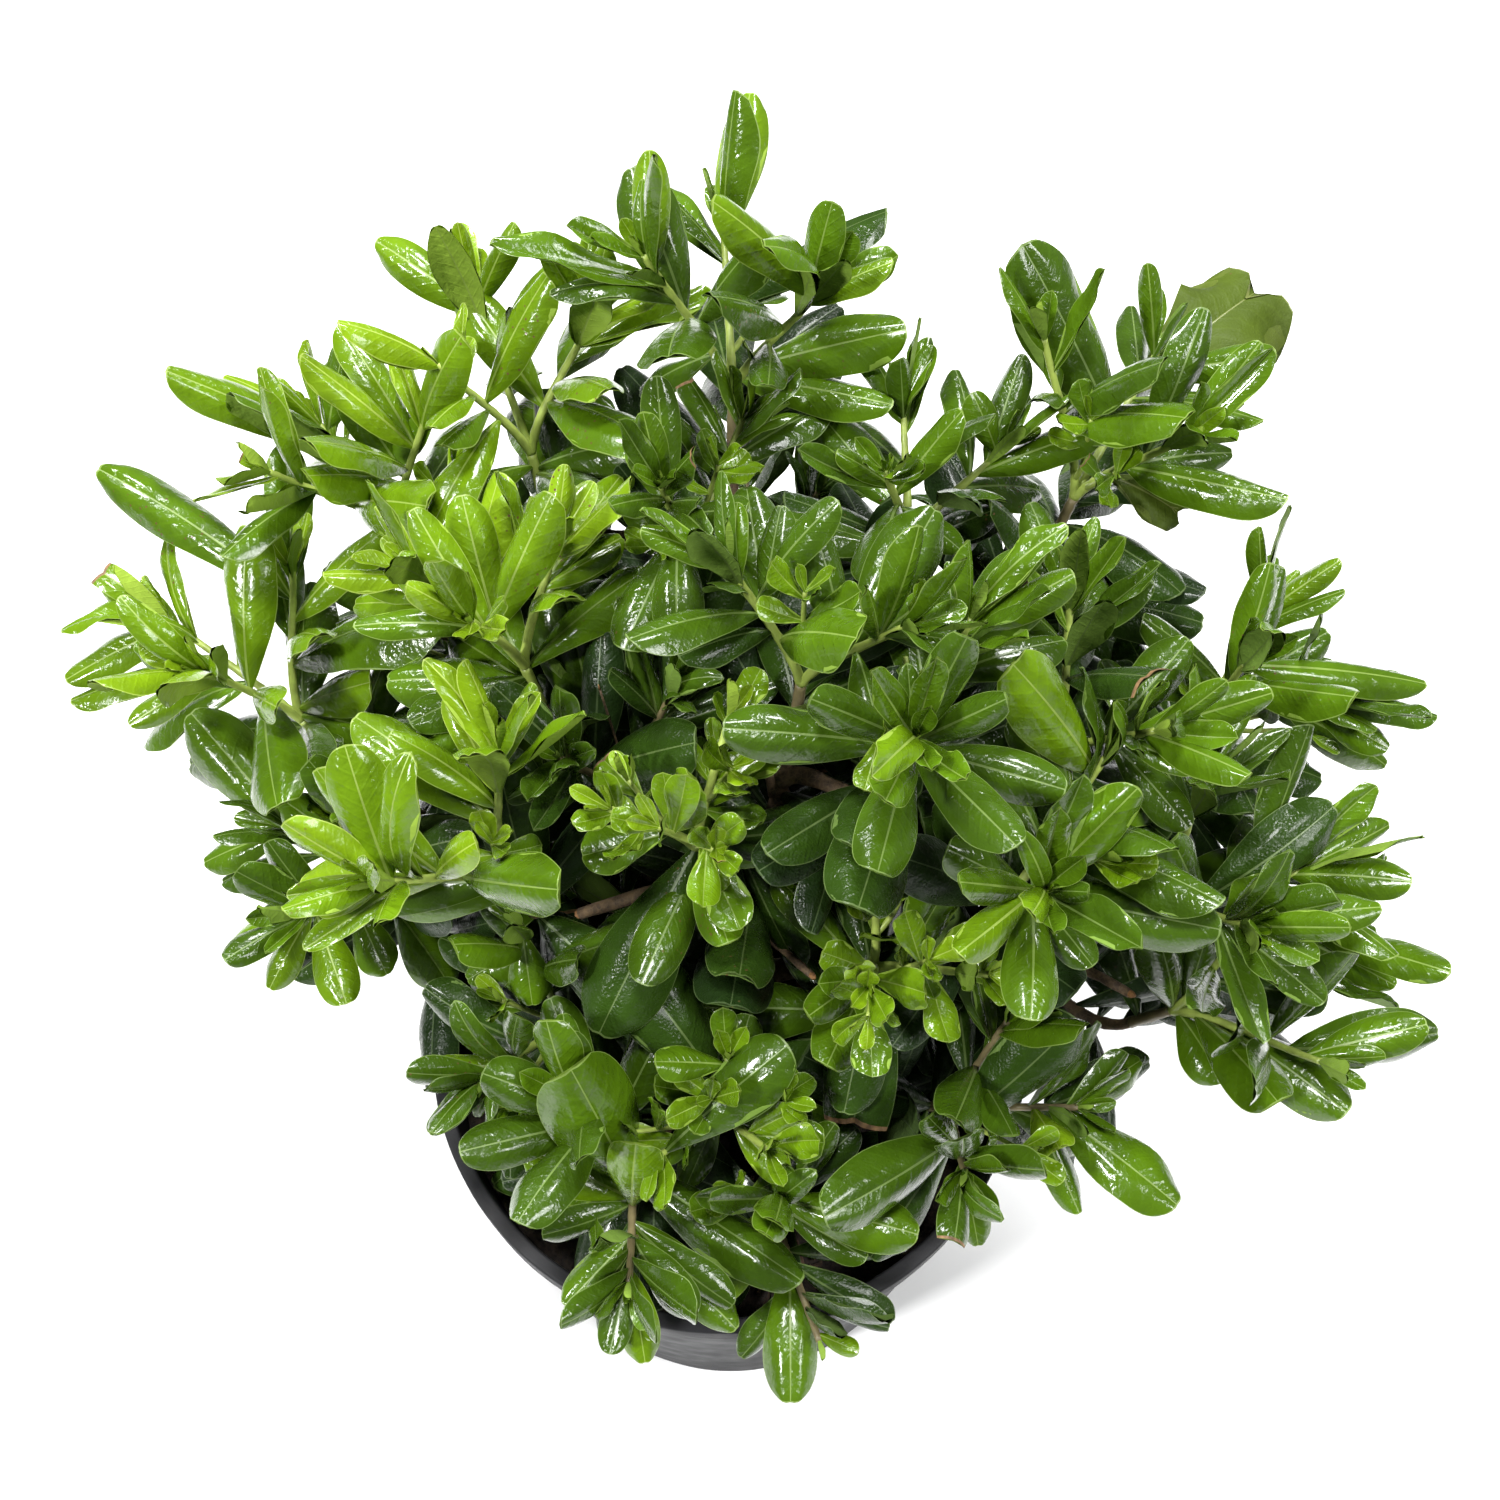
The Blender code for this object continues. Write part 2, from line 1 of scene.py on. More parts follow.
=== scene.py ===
"""The looks of a dwarf pittosporum shrub in its round nursery pot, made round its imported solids.

Metres, +Z up, in the frame of the solids. Boughs, twigs and leaves grow by the rule of the solids'
source, written again here and carried to finer twigs and more leaves. The leaves of each age are
joined into one piece, or into more where there are very many.
"""

import math
import random
from collections import namedtuple

import bpy
import numpy as np
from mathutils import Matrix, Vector, noise
from mathutils.bvhtree import BVHTree
from mathutils.kdtree import KDTree


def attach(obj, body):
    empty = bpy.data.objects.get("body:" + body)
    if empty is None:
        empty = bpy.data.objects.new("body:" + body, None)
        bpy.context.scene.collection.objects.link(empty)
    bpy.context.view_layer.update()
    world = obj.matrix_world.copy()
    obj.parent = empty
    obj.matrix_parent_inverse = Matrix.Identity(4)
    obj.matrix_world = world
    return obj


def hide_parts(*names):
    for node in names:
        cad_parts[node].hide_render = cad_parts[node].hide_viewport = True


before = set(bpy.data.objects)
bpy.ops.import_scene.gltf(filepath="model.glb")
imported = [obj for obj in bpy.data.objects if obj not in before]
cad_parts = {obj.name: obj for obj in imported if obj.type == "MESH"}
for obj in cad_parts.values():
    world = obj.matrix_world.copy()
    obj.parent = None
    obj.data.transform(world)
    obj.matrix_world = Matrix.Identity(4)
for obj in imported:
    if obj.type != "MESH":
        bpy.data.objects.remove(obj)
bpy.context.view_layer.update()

UP = Vector((0, 0, 1))
GOLDEN_ANGLE = math.radians(137.5)  # between one leaf of a shoot and the next
NEARLY_UPRIGHT = 0.98  # a direction that rises by more has no clear upper side
FLOOR_SIZE = 8

# Camera: over the front of the pot, looking down
CAMERA_PLACE = (0.011, -0.245, 0.927)
CAMERA_DOWN = math.radians(60)  # below level
CAMERA_FOCAL = 36.0  # mm, on a sensor as wide

# Pot
POT_HEIGHT = 0.240
RIM_RADIUS = 0.140
RIM_LIP = 0.007
RIM_BAND = 0.014
RIM_ROUND = 0.0016
BAND_EDGE = 0.001
POT_WALL = 0.0022
POT_FLOOR = 0.003
POT_TOP_RADIUS = 0.1352
POT_BASE_RADIUS = 0.123
BASE_CHAMFER = 0.003
FLAT_RADIUS = 0.06  # of the smooth middle of floor and underside
RIDGE_Z = 0.196
RIDGE = ((0.0016, 0), (0.0005, 0.0003), (-0.0005, 0.0003), (-0.0016, 0))  # heights and how far out
LOW_WALL_Z = 0.04
POT_STEPS, WALL_STEPS, RIM_STEPS = 160, 12, 4
OUT_OF_TRUE, OVAL_TURN = 0.003, 0.6  # of the radius at the rim, and which way
SCUFF_DEPTH, SCUFFS_ROUND, SCUFFS_UP = 0.0003, 6, 60
SHARP_EDGE = math.radians(35)

# Potting mix
SOIL_TOP = 0.214
SOIL_EDGE_TOP = 0.208
SOIL_LEVEL_RADIUS = 0.035
SOIL_STEPS, SOIL_RINGS = 120, 44
SOIL_GRAINS = ((45, 0, 0.0028), (160, 3, 0.0014))  # how many to a metre, layer of the noise, height
CHIPS = 420
CHIPS_FROM, CHIPS_TO = 0.026, 0.124  # distance from the stem
CHIP_HEIGHT, CHIP_SIDES = 0.0006, 5
CHIP_LENGTHS, CHIP_WIDTHS = (0.0015, 0.0065), (0.0008, 0.0022)  # half of each

# Trunk
TRUNK_FOOT_RADIUS = 0.0125
TRUNK_TOP_RADIUS = 0.0095
FLARE = 0.0075
FLARE_HEIGHT = 0.012
FLARE_LOBES = 4
LOBE_DEPTH = 0.35  # of the flare
TRUNK_TOP = Vector((0.004, 0.014, 0.278))
TRUNK_BOW = 0.004
LOWEST_BOUGH = 0.30
GAP = 0.0003
TRUNK_RINGS, TRUNK_SIDES = 46, 48
TRUNK_CROWDING = 1.3  # past 1, the rings lie closer near the foot
TRUNK_RELIEF, BOUGH_RELIEF, BROKEN_RELIEF = 0.0008, 0.0004, 0.0005
BARK_RIDGES, BARK_LUMPS = (420, 420, 150), 130  # how many to a metre
RIDGE_SHARE, LUMP_SHARE = 0.6, 0.8  # of the relief

# Boughs
BOUGH_BASE_RADIUS = 0.0058
BOUGH_TIP_RADIUS = 0.0026
SIDE_BASE_RADIUS = 0.0036
SIDE_TIP_RADIUS = 0.0024
BOUGH_RISE = math.radians(38)
BOUGH_CURVE = 0.36
BOUGH_POINTS = 5
SIDE_POINTS = 4
STRAIGHT_TIP = 0.004
BOUGH_STEP, BOUGH_SIDES, LEAST_BOUGH_RINGS = 0.0028, 14, 12
SCAR_SPACING, SCAR_LENGTH, SCAR_SWELL, FIRST_SCAR = 0.011, 0.0016, 0.10, 0.1
COLLAR_LENGTH, COLLAR_SWELL = 0.008, 0.35

# Foliage, as in the solids
CROWN_FOOT_Z = 0.24
LEAN_SHARE = 0.58
STEM_LENGTH = 0.020
FORK_ANGLE = math.radians(33)
SHOOT_BASE, SHOOT_PER_LEAF = 0.028, 0.58
SHOOT_LEAVES = {2: 8, 3: 6}
WHORL_LEAVES = 3
WHORL_GROWTH = 1.12
WHORL_SPREAD = math.radians(84)  # from the stem's own line
WHORL_TOP, WHORL_STEP = 0.12, 0.20  # places of the old leaves below the fork, as shares of the stem
BARE_SHARE, LAST_LEAF_SHARE = 0.40, 0.97  # of a shoot, up to its first leaf and to its last
LEAF_CROWDING = 0.8  # below 1, a shoot's leaves stand closer near its tip
LOWEST_LEAF, HIGHEST_LEAF = math.radians(74), math.radians(22)
TOP_LEAF_SHARE = 0.60
TOUCH = 0.0005
LEAF_HEART = 0.55

# Finer growth
SHOOT_FOOT_RADIUS, SHOOT_TIP_RADIUS = 0.0021, 0.0014
SPRIG_FOOT_RADIUS, SPRIG_TIP_RADIUS = 0.00138, 0.00090
STEM_TIP_RADIUS = 0.0022
STEM_IN_BOUGH = 0.002
SHOOT_POINTS, SPRIG_POINTS = 14, 10
SHOOT_STEP, SHOOT_SIDES, LEAST_SHOOT_RINGS = 0.002, 9, 8
SHOOT_UNEVEN = (0.94, 1.1)  # least and greatest radius of a ring, beside the even one
SPRAY_BELOW = 0.05  # a mass with shorter leaves has small round ones in pairs instead
BROAD_BELOW = 0.36  # masses lower than this have broad leaves up to their tips
ALL_BROAD = 0.35  # share of a rosette, from its foot, with broad leaves only
NOT_CURLED, NOT_HOOKED = 0.62, 0.82  # chances above it
INNER_REACH = 0.16  # a mass that reaches less far has more side shoots
INNER_CHANCE, OUTER_CHANCE = 0.7, 0.3  # that a shoot has one
SPRIG_PLACES, SPRIG_LENGTHS = (0.12, 0.30), (0.028, 0.045)
SPRAY_SPRIG_PLACE, SPRAY_SPRIG_LENGTHS = 0.42, (0.024, 0.036)  # on a mass with small leaves
TRIES = 6  # turns that a finer leaf may try before it is left out
HEART_LEAVES, HEART_PLACE = 4, 0.98  # small folded ones near the tip of a shoot, and how far along it
STEM_OLD_LEAVES = 5
LEAST_OLD_LENGTH, OLD_LENGTHS = 0.055, (0.055, 0.090)  # below the fork, and along a bough
MAIN_OLD_LEAVES, SIDE_OLD_LEAVES = (18, 0.22), (11, 0.30)  # along a bough, and the share where they start
# Small leaves: the share of the shoot where they start, the space between pairs, their sizes at its foot
# and tip, and how many stand in the tuft
Smalls = namedtuple("Smalls", "first spacing foot_size tip_size tuft")
SPRAY_SMALLS = Smalls(0.20, 0.0115, 0.034, 0.021, 3)
SPRIG_SMALLS = Smalls(0.45, 0.0105, 0.026, 0.017, 2)
FALLEN = 26  # dry leaves on the potting mix
FALLEN_FROM, FALLEN_SPREAD = 0.035, 0.075  # distance from the stem, and how much further they lie
FALLEN_HEIGHTS, FALLEN_LENGTHS, FALLEN_WIDTHS = (0.004, 0.010), (0.022, 0.050), (0.30, 0.42)

# Ages of leaves, counted along the list of tints
AGE_OF_TINT = {"bright": 2.0, "mid": 3.7, "deep": 4.7}
YOUNG_ABOVE = 0.40  # masses lower than this have older leaves
AGE_BY_DEPTH = 7.0
OLD_BELOW_SPRAY = 5.0
ROSETTE_AGES = 1.1  # between the lowest leaf of a rosette and the highest
HEART_YOUNGER, HEART_AGES = 0.9, 0.6  # than the mean of the mass, and from the first to the last
WHORL_OLDER, STEM_OLDER, BOUGH_OLDER = 1.7, 1.4, 2.2  # than the mean of the mass
SPRIG_OLDEST = 2.4
LEAST_BOUGH_AGE = 4.8
OLDEST, OLIVE, DRY = 6, 7, 8

# Blades
BLADE_ROWS, BLADE_STRIPS = 17, 4
SMALL_ROWS, SMALL_STRIPS = 13, 3
TEST_ROWS, TEST_STRIPS = 5, 1
TEST_RINGS, TEST_SIDES, THIN_SIDES = 7, 4, 3  # of boughs and posts, and of shoots
SMALL_LEAF = 0.026  # shorter leaves have the coarser mesh
MOST_BLADES = 480  # in one piece
MOST_WAITING = 60  # boxes that the crowd gathers before it adds them to its arrays
BLADE_FOOT = 0.03  # half width at the foot, before it is set beside the greatest
LIFT = 0.06  # how far side veins run forward to the margin, as a share of the length
TIP_BOW, TIP_POWER = 0.05, 8  # how far the round tip stands in front of its corners, and how suddenly
MARGIN, MARGIN_SHARE = 0.00022, 0.12  # width, and the most that it takes of the half width
TIP_TAPER = 0.50  # a greater one makes a longer tip
TIP_CROWDING = 1.6  # past 1, a blade's rows lie closer near its tip
RIB_FOOT, RIB_TIP, RIB_SHARE = 0.00062, 0.00022, 0.6  # half the midrib's width, and its most
FULL_RIB_LENGTH = 0.05  # shorter leaves have a finer midrib
LEAST_HALF_WIDTH = 0.0008
SHOULDER, SHOULDER_POWER = 0.13, 0.6  # rise of each half beside the sunken midrib
ROLL_POWER = 2.4  # past 1, the roll gathers at the margin
WAVES = 3.2  # half waves along the margin
PUCKER = 0.0012
NOTCH_WIDTH, NOTCH_POWER = 0.3, 24
LEAST_BEND = 0.001
TWIST_FROM = 0.2
BLADE_THICKNESS = 0.0005
UNDERSIDE_DROP = (0.15, 1, 1.3, 1.3, 1, 0.15)  # across the underside, beside the thickness
UNDERSIDE_ROWS = 4
DEAD_ROWS = 2
SIDE_VEINS = 10  # on each side of the midrib
DULL = 0.5  # roughness past which a leaf has no wax
YOUNG_WAX, OLD_WAX = 0.30, 0.11
BLADE, RIB, UNDERSIDE, DEAD = range(4)  # a leaf's materials
LIGHT = Vector((0, -0.5, 1)).normalized()  # leaves turn their upper sides to it
TURNED = 1.1  # how strongly they do, beside the hold of their shoot

Mass = namedtuple("Mass", "name carrier share azimuth reach height shoots spin leaf tint")
MASSES = (
    Mass("centre_high", "trunk", 1.00, 65, 0.082, 0.492, 2, 90, 0.060, "mid"),
    Mass("back_top", "trunk", 0.95, 89, 0.228, 0.508, 3, 0, 0.078, "mid"),
    Mass("front_left", "trunk", 0.55, 242, 0.106, 0.322, 2, 40, 0.064, "mid"),
    Mass("right", "trunk", 0.75, 5, 0.212, 0.392, 3, 0, 0.068, "mid"),
    Mass("left_far", "trunk", 0.80, 150, 0.260, 0.382, 3, 10, 0.072, "bright"),
    Mass("front_right", "trunk", 0.40, 331, 0.138, 0.328, 3, 20, 0.066, "mid"),
    Mass("far_right_high", "trunk", 0.90, 49, 0.258, 0.472, 3, 0, 0.074, "mid"),
    Mass("far_left_high", "trunk", 0.85, 129, 0.268, 0.430, 3, 0, 0.070, "bright"),
    Mass("back_left", "back_top", 0.62, 113, 0.248, 0.462, 3, 0, 0.066, "bright"),
    Mass("back_right", "back_top", 0.50, 63, 0.192, 0.462, 3, 60, 0.058, "mid"),
    Mass("back_low", "back_top", 0.35, 88, 0.240, 0.350, 3, 0, 0.066, "deep"),
    Mass("right_high", "far_right_high", 0.50, 25, 0.262, 0.392, 3, 60, 0.068, "mid"),
    Mass("back_right_low", "far_right_high", 0.35, 56, 0.245, 0.335, 3, 60, 0.064, "deep"),
    Mass("right_mid", "right", 0.45, 25, 0.172, 0.436, 2, 90, 0.062, "mid"),
    Mass("right_near", "right", 0.60, 0, 0.131, 0.438, 2, 60, 0.066, "mid"),
    Mass("right_low", "right", 0.50, 356, 0.234, 0.343, 3, 40, 0.074, "mid"),
    Mass("centre_right", "front_right", 0.45, 345, 0.074, 0.395, 3, 0, 0.040, "bright"),
    Mass("front", "front_right", 0.35, 283, 0.122, 0.286, 2, 0, 0.058, "mid"),
    Mass("front_centre", "front_left", 0.40, 268, 0.074, 0.335, 3, 60, 0.036, "bright"),
    Mass("left_front", "front_left", 0.50, 196, 0.092, 0.337, 2, 60, 0.054, "mid"),
    Mass("left", "left_far", 0.45, 168, 0.182, 0.345, 3, 100, 0.058, "mid"),
    Mass("left_near", "left_far", 0.35, 171, 0.107, 0.425, 2, 60, 0.066, "bright"),
    Mass("centre_left", "far_left_high", 0.50, 131, 0.142, 0.458, 3, 20, 0.060, "bright"),
    Mass("back_left_low", "far_left_high", 0.40, 124, 0.225, 0.335, 3, 0, 0.064, "deep"),
    Mass("centre_back", "centre_high", 0.60, 96, 0.148, 0.476, 2, 150, 0.054, "mid"),
    Mass("centre", "centre_high", 0.50, 120, 0.024, 0.440, 3, 60, 0.046, "bright"),
    Mass("centre_deep", "centre_high", 0.35, 125, 0.092, 0.405, 3, 0, 0.062, "deep"),
    Mass("centre_high_right", "centre_high", 0.65, 28, 0.088, 0.486, 2, 30, 0.064, "mid"),
)

# Leaves that stand out in the photo, placed one by one under the mass that carries them: the shoot and the
# share of it where each grows, where its tip shows in the frame (shares of the width from the left and
# of the height from the top), how high its tip stands, its form, its width beside its length and its age
Seen = namedtuple("Seen", "shoot share across down height form width age")
SEEN_FACING = 0.6  # how strongly they face the camera, beside upwards
SEEN_LENGTH = 1.02  # beside the straight way from root to tip
SEEN = {
    "left_far": (
        (2, 0.8, 0.066, 0.313, 0.4, "long", 0.21, 2.6), (0, 0.95, 0.045, 0.453, 0.355, "long", 0.36, 2.2),
        (0, 0.97, 0.056, 0.374, 0.385, "cut", 0.3, 2.4), (1, 0.9, 0.087, 0.483, 0.38, "long", 0.32, 2.4),
        (2, 0.9, 0.19, 0.297, 0.41, "curled", 0.36, 2.8), (2, 0.1, 0.247, 0.455, 0.37, "broad", 0.45, 2.4),
        (2, 0.05, 0.25, 0.487, 0.35, "broad", 0.42, 3.2),
    ),
    "left": (
        (2, 0.9, 0.128, 0.476, 0.35, "broad", 0.4, 2.8), (2, 0.95, 0.137, 0.575, 0.31, "broad", 0.4, 2.8),
        (0, 0.95, 0.152, 0.633, 0.34, "broad", 0.4, 2.0), (0, 0.9, 0.18, 0.659, 0.33, "broad", 0.38, 2.0),
        (0, 0.85, 0.231, 0.669, 0.34, "broad", 0.42, 2.4), (0, 0.45, 0.258, 0.65, 0.31, "broad", 0.56, 2.8),
        (1, 0.05, 0.3, 0.657, 0.295, "broad", 0.52, 3.0),
    ),
    "far_left_high": (
        (0, 0.8, 0.112, 0.248, 0.45, "long", 0.27, 2.2), (0, 0.9, 0.18, 0.252, 0.43, "long", 0.22, 2.0),
        (0, 0.85, 0.23, 0.23, 0.44, "broad", 0.38, 2.6), (2, 0.8, 0.308, 0.224, 0.48, "broad", 0.4, 2.2),
        (2, 0.45, 0.226, 0.254, 0.43, "long", 0.34, 2.6),
    ),
    "back_left": (
        (0, 0.9, 0.251, 0.161, 0.47, "long", 0.34, 1.6), (0, 0.97, 0.305, 0.149, 0.49, "long", 0.22, 1.4),
        (0, 0.95, 0.343, 0.149, 0.48, "long", 0.32, 1.6), (2, 0.95, 0.36, 0.159, 0.51, "curled", 0.28, 1.6),
        (2, 0.97, 0.404, 0.164, 0.5, "long", 0.32, 2.0), (2, 0.35, 0.308, 0.192, 0.46, "broad", 0.34, 2.4),
        (2, 0.5, 0.409, 0.275, 0.44, "broad", 0.42, 2.6),
    ),
    "back_top": (
        (0, 0.9, 0.5, 0.063, 0.51, "long", 0.3, 1.8), (1, 0.9, 0.433, 0.101, 0.545, "long", 0.34, 2.0),
        (1, 0.6, 0.421, 0.112, 0.53, "broad", 0.42, 4.3), (2, 0.9, 0.555, 0.135, 0.545, "broad", 0.36, 2.8),
        (2, 0.9, 0.595, 0.175, 0.53, "long", 0.34, 2.4), (2, 0.25, 0.603, 0.22, 0.48, "broad", 0.38, 3.0),
        (2, 0.97, 0.475, 0.135, 0.56, "long", 0.3, 2.0), (2, 0.15, 0.594, 0.27, 0.465, "long", 0.3, 3.0),
        (1, 0.3, 0.427, 0.262, 0.44, "broad", 0.36, 3.8),
    ),
    "far_right_high": (
        (0, 0.5, 0.682, 0.165, 0.51, "long", 0.36, 3.6), (0, 0.35, 0.689, 0.207, 0.47, "long", 0.26, 3.8),
        (0, 0.97, 0.765, 0.176, 0.49, "long", 0.24, 3.0), (0, 0.75, 0.843, 0.192, 0.45, "torn", 0.6, OLIVE),
        (2, 0.35, 0.79, 0.345, 0.43, "torn", 0.58, OLIVE), (0, 0.85, 0.85, 0.237, 0.48, "long", 0.27, 3.4),
        (0, 0.7, 0.841, 0.281, 0.475, "long", 0.2, 3.2), (2, 0.5, 0.857, 0.333, 0.46, "long", 0.31, 3.4),
    ),
    "right_high": (
        (0, 0.95, 0.839, 0.352, 0.41, "long", 0.26, 2.6), (0, 0.9, 0.893, 0.374, 0.4, "long", 0.28, 2.4),
        (1, 0.97, 0.949, 0.456, 0.385, "long", 0.2, 3.4), (2, 0.8, 0.925, 0.499, 0.37, "broad", 0.38, 3.2),
    ),
    "right": (
        (0, 0.9, 0.941, 0.588, 0.39, "broad", 0.38, 3.0), (2, 0.9, 0.92, 0.605, 0.4, "long", 0.32, 3.0),
    ),
    "right_low": (
        (0, 0.97, 0.966, 0.648, 0.36, "long", 0.27, 2.8), (2, 0.9, 0.951, 0.683, 0.355, "broad", 0.36, 3.0),
        (2, 0.3, 0.898, 0.742, 0.33, "broad", 0.36, 3.2), (0, 0.9, 0.93, 0.657, 0.33, "long", 0.34, 3.0),
        (2, 0.05, 0.815, 0.722, 0.3, "broad", 0.58, 3.0),
        (2, 0.18, 0.852, 0.735, 0.345, "broad", 0.36, 3.2),
        (0, 0.1, 0.803, 0.628, 0.335, "broad", 0.34, 4.2),
        (1, 0.02, 0.771, 0.622, 0.35, "broad", 0.36, 4.0),
    ),
    "front_right": (
        (0, 0.8, 0.784, 0.803, 0.3, "broad", 0.42, 2.8), (0, 0.7, 0.719, 0.808, 0.28, "long", 0.3, 3.2),
        (0, 0.95, 0.76, 0.707, 0.3, "broad", 0.4, 3.4), (2, 0.9, 0.652, 0.83, 0.3, "broad", 0.4, 3.0),
        (0, 0.7, 0.706, 0.765, 0.318, "broad", 0.55, 1.4),
    ),
    "front": (
        (0, 0.45, 0.527, 0.935, 0.25, "broad", 0.4, 3.4), (0, 0.95, 0.572, 0.901, 0.27, "long", 0.4, 1.8),
        (1, 0.7, 0.612, 0.823, 0.3, "broad", 0.38, 3.0), (1, 0.3, 0.47, 0.868, 0.262, "broad", 0.42, 1.8),
    ),
    "front_left": (
        (0, 0.9, 0.43, 0.908, 0.29, "broad", 0.44, 2.4), (0, 0.6, 0.49, 0.885, 0.27, "long", 0.3, 2.6),
        (0, 0.22, 0.533, 0.853, 0.284, "long", 0.3, 4.4), (0, 0.35, 0.38, 0.712, 0.372, "broad", 0.42, 2.8),
        (0, 0.5, 0.424, 0.762, 0.345, "broad", 0.42, 1.6), (0, 0.45, 0.35, 0.768, 0.31, "broad", 0.44, 1.8),
        (0, 0.7, 0.377, 0.87, 0.29, "broad", 0.44, 2.6),
    ),
    "back_right": (
        (2, 0.8, 0.682, 0.237, 0.47, "long", 0.3, 3.6), (0, 0.9, 0.6, 0.24, 0.48, "long", 0.36, 3.6),
        (2, 0.9, 0.648, 0.262, 0.47, "broad", 0.46, 2.8), (2, 0.7, 0.735, 0.286, 0.46, "long", 0.3, 3.4),
    ),
    "left_front": (
        (0, 0.8, 0.287, 0.712, 0.32, "broad", 0.44, 2.2), (1, 0.8, 0.312, 0.653, 0.325, "broad", 0.58, 2.6),
        (1, 0.95, 0.355, 0.67, 0.33, "broad", 0.56, 2.8),
    ),
    "left_near": (
        (0, 0.9, 0.23, 0.497, 0.46, "broad", 0.4, 1.8),
    ),
    "right_near": (
        (0, 0.9, 0.675, 0.443, 0.49, "long", 0.36, 2.4), (1, 0.1, 0.625, 0.535, 0.395, "broad", 0.4, 5.2),
    ),
    "centre_high_right": (
        (0, 0.9, 0.715, 0.383, 0.5, "long", 0.32, 3.0),
    ),
    "back_low": (
        (2, 0.8, 0.555, 0.272, 0.38, "broad", 0.48, 3.2),
    ),
    "centre_deep": (
        (0, 0.5, 0.373, 0.385, 0.42, "broad", 0.5, 4.0), (2, 0.9, 0.485, 0.355, 0.45, "broad", 0.42, 4.6),
    ),
    "centre": (
        (1, 0.05, 0.4, 0.688, 0.35, "broad", 0.4, 5.0), (2, 0.8, 0.593, 0.472, 0.445, "long", 0.32, 4.0),
        (0, 0.1, 0.578, 0.552, 0.385, "broad", 0.38, 5.3),
    ),
    "front_centre": (
        (2, 0.9, 0.525, 0.697, 0.36, "broad", 0.38, 4.0), (1, 0.5, 0.42, 0.643, 0.36, "broad", 0.5, 5.0),
        (1, 0.9, 0.437, 0.708, 0.36, "broad", 0.42, 3.4),
    ),
    "centre_right": (
        (2, 0.2, 0.563, 0.741, 0.33, "broad", 0.42, 5.2), (2, 0.05, 0.567, 0.773, 0.305, "cut", 0.36, 4.8),
    ),
}

# Broken woody stubs: the bough that each leaves and its share, where the broken end shows, height, radius
Snag = namedtuple("Snag", "mass share across down height radius")
SNAGS = (
    Snag("centre", 1.00, 0.387, 0.609, 0.335, 0.0030),
    Snag("centre_high", 0.30, 0.541, 0.650, 0.345, 0.0019),
    Snag("right", 0.80, 0.753, 0.662, 0.315, 0.0024),
    Snag("centre_deep", 0.80, 0.400, 0.460, 0.420, 0.0006),
    Snag("back_left", 0.45, 0.416, 0.395, 0.415, 0.0012),
)
SNAG_STEPS, SNAG_SIDES, BROKEN_SIDES = 12, 12, 9
BROKEN_END = ((-0.0006, 0.78), (0.0018, 0.62), (0.0030, 0.2))  # past the stub's end, and radius beside it

# Lines of sight that the leaves of the rule stay clear of, across and down the frame: where the photo
# shows the ground, and where it shows a stub or old wood, with the height from which the line is free
GROUND_SIGHTS = (
    (0.465, 0.095), (0.398, 0.118), (0.568, 0.125), (0.265, 0.213), (0.282, 0.235), (0.185, 0.233),
    (0.12, 0.298), (0.145, 0.28), (0.085, 0.5), (0.147, 0.605), (0.215, 0.46), (0.273, 0.682),
    (0.318, 0.833), (0.385, 0.912), (0.557, 0.925), (0.588, 0.895), (0.575, 0.925), (0.697, 0.827),
    (0.667, 0.84), (0.804, 0.753), (0.912, 0.752), (0.925, 0.735), (0.773, 0.698), (0.793, 0.373),
    (0.787, 0.35), (0.812, 0.362), (0.928, 0.4), (0.945, 0.502), (0.905, 0.415), (0.873, 0.28),
    (0.858, 0.262), (0.86, 0.3), (0.747, 0.198), (0.652, 0.215), (0.675, 0.225), (0.69, 0.25),
    (0.633, 0.24), (0.493, 0.277), (0.595, 0.28), (0.61, 0.275), (0.531, 0.915), (0.541, 0.925),
    (0.55, 0.9), (0.402, 0.918), (0.432, 0.928), (0.678, 0.795), (0.765, 0.75), (0.27, 0.65), (0.285, 0.64),
    (0.135, 0.318), (0.09, 0.365), (0.08, 0.352), (0.9, 0.437), (0.615, 0.185), (0.278, 0.195),
    (0.728, 0.17), (0.862, 0.372), (0.504, 0.14), (0.139, 0.395), (0.757, 0.69), (0.765, 0.735),
    (0.78, 0.74), (0.785, 0.775), (0.833, 0.748), (0.875, 0.757), (0.72, 0.835),
)
WOOD_SIGHTS = (
    (0.53, 0.885, 0.25), (0.535, 0.523, 0.3), (0.398, 0.606, 0.335), (0.42, 0.598, 0.34),
    (0.44, 0.592, 0.35), (0.375, 0.62, 0.32), (0.527, 0.633, 0.34), (0.537, 0.645, 0.34),
    (0.733, 0.658, 0.31), (0.748, 0.661, 0.31),
)
SIGHT_RADIUS, SIGHT_FOOT, SIGHT_TOP = 0.006, 0.2, 0.60

Limb = namedtuple("Limb", "points radii handles")
Twig = namedtuple("Twig", "foot tip")
Leaf = namedtuple("Leaf", "root along normal length")
Shoot = namedtuple("Shoot", "line foot_radius tip_radius age")

